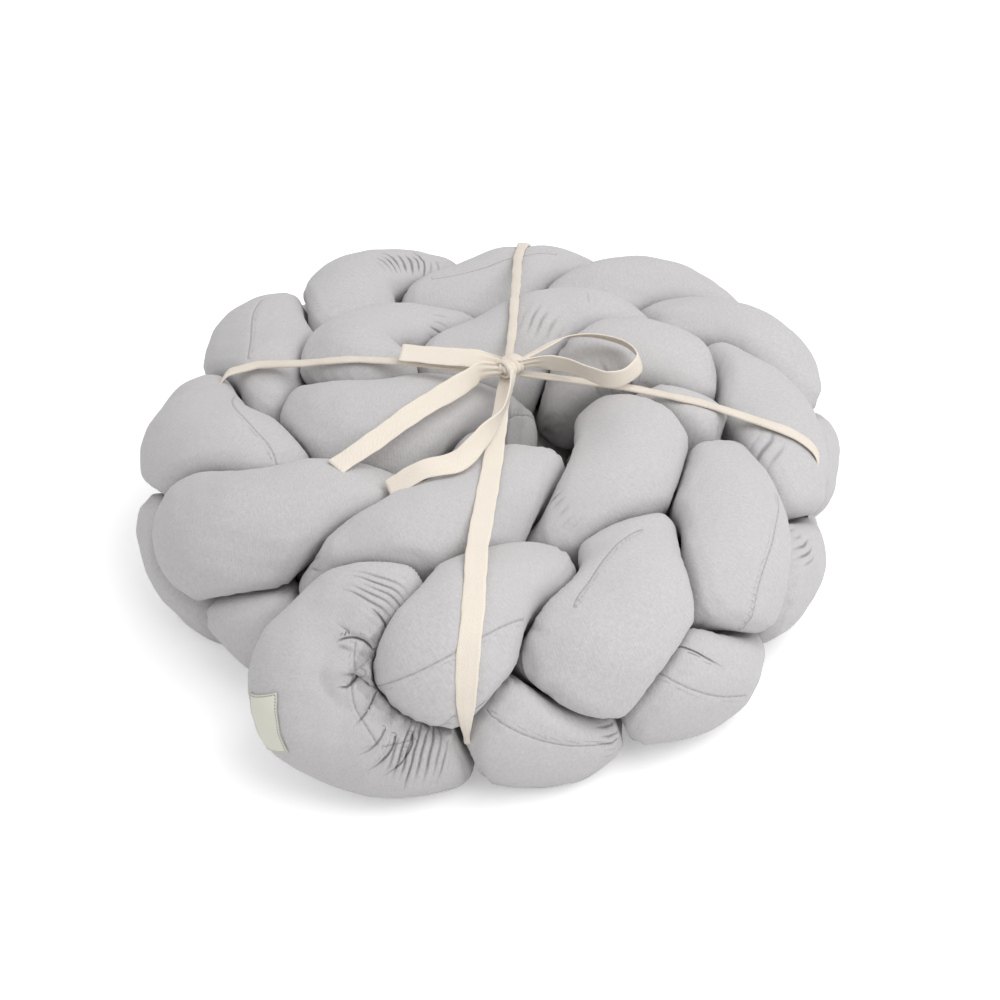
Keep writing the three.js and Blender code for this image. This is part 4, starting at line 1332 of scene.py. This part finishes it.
def jersey(name, base):
    finish = Finish(name)
    place, along, around = finish.cloth()
    fold, gathered, tuck, tucked, seam, sewn, crease = map(finish.attribute, CLOTH_VALUES)
    fleck = finish.noise(place, FLECK_SCALE) - 0.5
    long_place = finish.add("VectorMath", {"operation": "MULTIPLY"}, {0: place, 1: (1, 0.25, 1)})
    yarn = finish.noise(long_place, YARN_SCALE, 1.0) - 0.5
    cloud = finish.noise(finish.add("TexCoord", {}, {}, "Object"), CLOUD_SCALE) - 0.5
    # bottom is 1 in the bottoms of the folds, where the bump sinks and the colour is painted darker:
    # painted shade
    bottom = fold.wave() ** 5 * gathered.ramp(0.25, 1.4)
    # pinch is 1 inside a tuck, where the bump sinks and the colour is painted darker: painted shade
    pinch = tuck.maths("ABSOLUTE").ramp(1.0, 0.1) * tucked.ramp(0.05, 2.2)
    aside = seam.maths("ABSOLUTE")
    stitched = aside.ramp(0.7, 0.25) * sewn * ((along / THREAD_STITCH).wave() * 0.35 + 0.65)
    # deep is 1 right beside a crease, where the colour is painted darker: painted shade
    deep = crease.ramp(2.6, 0.2)
    tone = 1 + fleck * 0.22 + yarn * 0.2 + cloud * 0.07
    # painted shade: the colour darkens in fold bottoms and in tucks, and beside creases on the next line
    tone = tone * (1 - FOLD_SHADE * bottom) * (1 - TUCK_SHADE * pinch)
    tone = tone * (1 - THREAD_SHADE * stitched) * (1 - CREASE_SHADE * deep)
    finish.feed("Base Color", finish.toned(tone, base))
    height = knit(along, around) * 0.16 + fleck * 0.14 + yarn * 0.1
    height = height - bottom * FOLD_DEPTH - pinch * TUCK_DEPTH
    finish.relief(height - aside.ramp(1.6, 0.2) * sewn * THREAD_DEPTH)
    finish.set(roughness=0.92, sheen_weight=0.22, sheen_roughness=0.45, specular_ior_level=0.25)
    return finish.material


JERSEY = (0.565, 0.552, 0.555)
grey_jersey = jersey("grey_jersey", JERSEY)
for pieces in strands.values():
    for piece in pieces:
        piece.data.materials.append(grey_jersey)
print("the jersey has", len(grey_jersey.node_tree.nodes), "nodes")

# %% [markdown]
# ## Natural cotton tape
# The ties are unbleached cotton tape in herringbone twill: short slanted ribs that turn back at the
# middle of the tape, between two denser edges. The mesh gives the tape its folds and its wavering
# edges, and the weave is worked out from the place along and across it.

# %% Herringbone
def twill(along, across, rib=1.25, block=4.0):
    """The height of herringbone: slanted ribs that change direction in each block."""
    turned = (across / (2 * block)).maths("FRACT") - 0.5
    return (along / rib + turned.maths("ABSOLUTE") * 2 * block / rib * 0.8).wave()


THREAD_SCALE, PATCH_SCALE = 900, 45
TAPE_YARN, EDGE_YARN = 0.55, 0.9        # from yarn to yarn, across the tape and along its edges
SELVEDGE = (6.6, 7.4)        # from the middle of the tape, where the denser edge starts and is full


def cotton_tape(name, base):
    finish = Finish(name)
    place, along, across = finish.cloth()
    thread = finish.noise(place, THREAD_SCALE) - 0.5
    patch = finish.noise(place, PATCH_SCALE, 1.0) - 0.5
    rib = twill(along, across)
    yarn = (across / TAPE_YARN).wave()
    selvedge = across.maths("ABSOLUTE").ramp(*SELVEDGE)
    edge = selvedge * (along / EDGE_YARN).wave()
    tone = 1 - 0.13 * (1 - rib) * (1 - selvedge) + thread * 0.12 + patch * 0.05 - edge * 0.06
    finish.feed("Base Color", finish.toned(tone, base))
    finish.relief(rib * 0.22 + yarn * 0.05 + thread * 0.1 + edge * 0.1)
    finish.set(roughness=0.88, sheen_weight=0.12, sheen_roughness=0.4, specular_ior_level=0.3)
    return finish.material


TAPE = (0.96, 0.875, 0.765)
cream_tape = cotton_tape("cream_tape", TAPE)
for piece in (*band_pieces.values(), *bow_pieces.values(), *knot_pieces.values()):
    piece.data.materials.append(cream_tape)
print("the tape has", len(cream_tape.node_tree.nodes), "nodes")

# %% [markdown]
# ## The woven label
# The label is a plain damask ribbon, pale grey-beige and left bare, held down by a line of dark
# stitches close to its edge. Its own coordinates say how far each point is from that edge.
# Its outermost edge is painted darker: painted shade.

# %% Ribbon with a stitched edge
GRAIN_SCALE, WARP, WEFT = 1300, 0.7, 0.5
STITCH_INSET, STITCH_LENGTH = 1.3, 1.9


def ribbon(name, base, thread, width, height):
    finish = Finish(name)
    place, across, down = finish.cloth()
    inside = across.maths("MINIMUM", width - across)
    inside = inside.maths("MINIMUM", down).maths("MINIMUM", height - down)
    weave = (across / WARP).wave() * (down / WEFT).wave()
    grain = finish.noise(place, GRAIN_SCALE) - 0.5
    line = (inside - STITCH_INSET).maths("ABSOLUTE").ramp(0.5, 0.2)
    stitches = line * ((across + down) / STITCH_LENGTH).wave().ramp(0.2, 0.45)
    # rolled is 1 at the very edge of the label, which is painted darker there: painted shade
    rolled = inside.ramp(0.7, 0)
    tone = (1 + grain * 0.1 - weave * 0.05) * (1 - 0.35 * rolled)
    cloth = finish.toned(tone, base)
    finish.feed("Base Color", finish.mix(stitches * 0.75, cloth, (*thread, 1)))
    finish.relief(weave * 0.1 + grain * 0.06 - stitches * 0.3)
    finish.set(roughness=0.8, sheen_weight=0.1, sheen_roughness=0.4)
    return finish.material


LABEL, LABEL_THREAD = (0.76, 0.75, 0.66), (0.12, 0.12, 0.11)
label.data.materials.append(ribbon("label_ribbon", LABEL, LABEL_THREAD, LABEL_WIDTH, LABEL_HEIGHT))
print("the label's thread lies", STITCH_INSET, "mm inside its edge")

# %% [markdown]
# ## Floor, light and camera
# A studio for soft goods has one large overhead softbox and pale walls all round, so folds shade
# gently and the only dark lines are the creases. The floor is white paper. It takes the roll's
# shadow, and it glows a little for the camera and in reflections, which makes the open floor white
# with no more light on the cloth.

# %% White floor
FLOOR_SIZE, FLOOR_GREY, FLOOR_GLOW = 60, 0.93, 0.32


def in_picture(finish):
    """1 for rays that show in the picture, straight or by reflection, and 0 for scattered light."""
    rays = finish.node("LightPath", {}, {})
    seen = Value(finish, rays.outputs["Is Camera Ray"])
    for kind in ("Is Glossy Ray", "Is Transmission Ray"):
        seen = seen.maths("MAXIMUM", Value(finish, rays.outputs[kind]))
    return seen


floor_mesh = bpy.data.meshes.new("floor")
corners = [(x * FLOOR_SIZE / 2, y * FLOOR_SIZE / 2, 0)
           for x, y in ((-1, -1), (1, -1), (1, 1), (-1, 1))]
floor_mesh.from_pydata(corners, [], [(0, 1, 2, 3)])
floor = bpy.data.objects.new("floor", floor_mesh)
bpy.context.scene.collection.objects.link(floor)
paper = Finish("white_paper")
paper.set(base_color=(*[FLOOR_GREY] * 3, 1), roughness=1.0, emission_strength=FLOOR_GLOW)
paper.feed("Emission Color", paper.mix(in_picture(paper), BLACK, WHITE))
floor.data.materials.append(paper.material)
print("the floor is", FLOOR_SIZE, "m wide")

# %% Softbox and pale walls
WALLS, SOFTBOX_POWER, SOFTBOX_SIZE = 0.68, 34, 2.2
SOFTBOX_PLACE = Vector((1.0, -0.6, 2.1))


class Room(Finish):
    """A world being built, with its Background shader in place."""

    def __init__(self, name):
        self.world = bpy.data.worlds.new(name)
        self.world.use_nodes = True
        self.tree = self.world.node_tree
        self.shader = self.tree.nodes["Background"]


room = Room("pale_walls")
room.set(color=WHITE)
room.feed("Strength", in_picture(room) * (1 - WALLS) + WALLS)
bpy.context.scene.world = room.world

softbox = bpy.data.lights.new("softbox", "AREA")
softbox.size, softbox.energy = SOFTBOX_SIZE, SOFTBOX_POWER
lamp = bpy.data.objects.new("softbox", softbox)
lamp.location = SOFTBOX_PLACE
lamp.rotation_euler = (-SOFTBOX_PLACE).to_track_quat("-Z", "Y").to_euler()
bpy.context.scene.collection.objects.link(lamp)
bpy.context.scene.view_settings.view_transform = "Standard"

# %% Camera
EYE, EYE_TILT = (0, -1430.886, 1102.5), 54
LENS, SENSOR, SHIFT = 81.8, 36, (0.007, -0.004)

lens = bpy.data.cameras.new("camera")
lens.lens, lens.sensor_width = LENS, SENSOR
lens.shift_x, lens.shift_y = SHIFT
camera = bpy.data.objects.new("camera", lens)
camera.location = as_metres(EYE)[0]
camera.rotation_euler = (math.radians(EYE_TILT), 0, 0)
bpy.context.scene.collection.objects.link(camera)
bpy.context.scene.camera = camera
print("the camera looks down at", 90 - EYE_TILT, "degrees")

# %% [markdown]
# ## Each piece rides on the roll
# Last, each piece is parented to one empty for the roll's body, and the solid that it stands in for is
# hidden. The roll is one body with nothing that turns, so all ride on it.


def belongs(piece, node):
    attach(piece, "root")
    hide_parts(node)


for node, pieces in strands.items():
    for piece in pieces:
        belongs(piece, node)
for band in bands:
    belongs(band_pieces[band.name], band.name)
for node, piece in bow_pieces.items():
    belongs(piece, node)
for name, piece in knot_pieces.items():
    belongs(piece, "bow_knot")
belongs(label, "label")
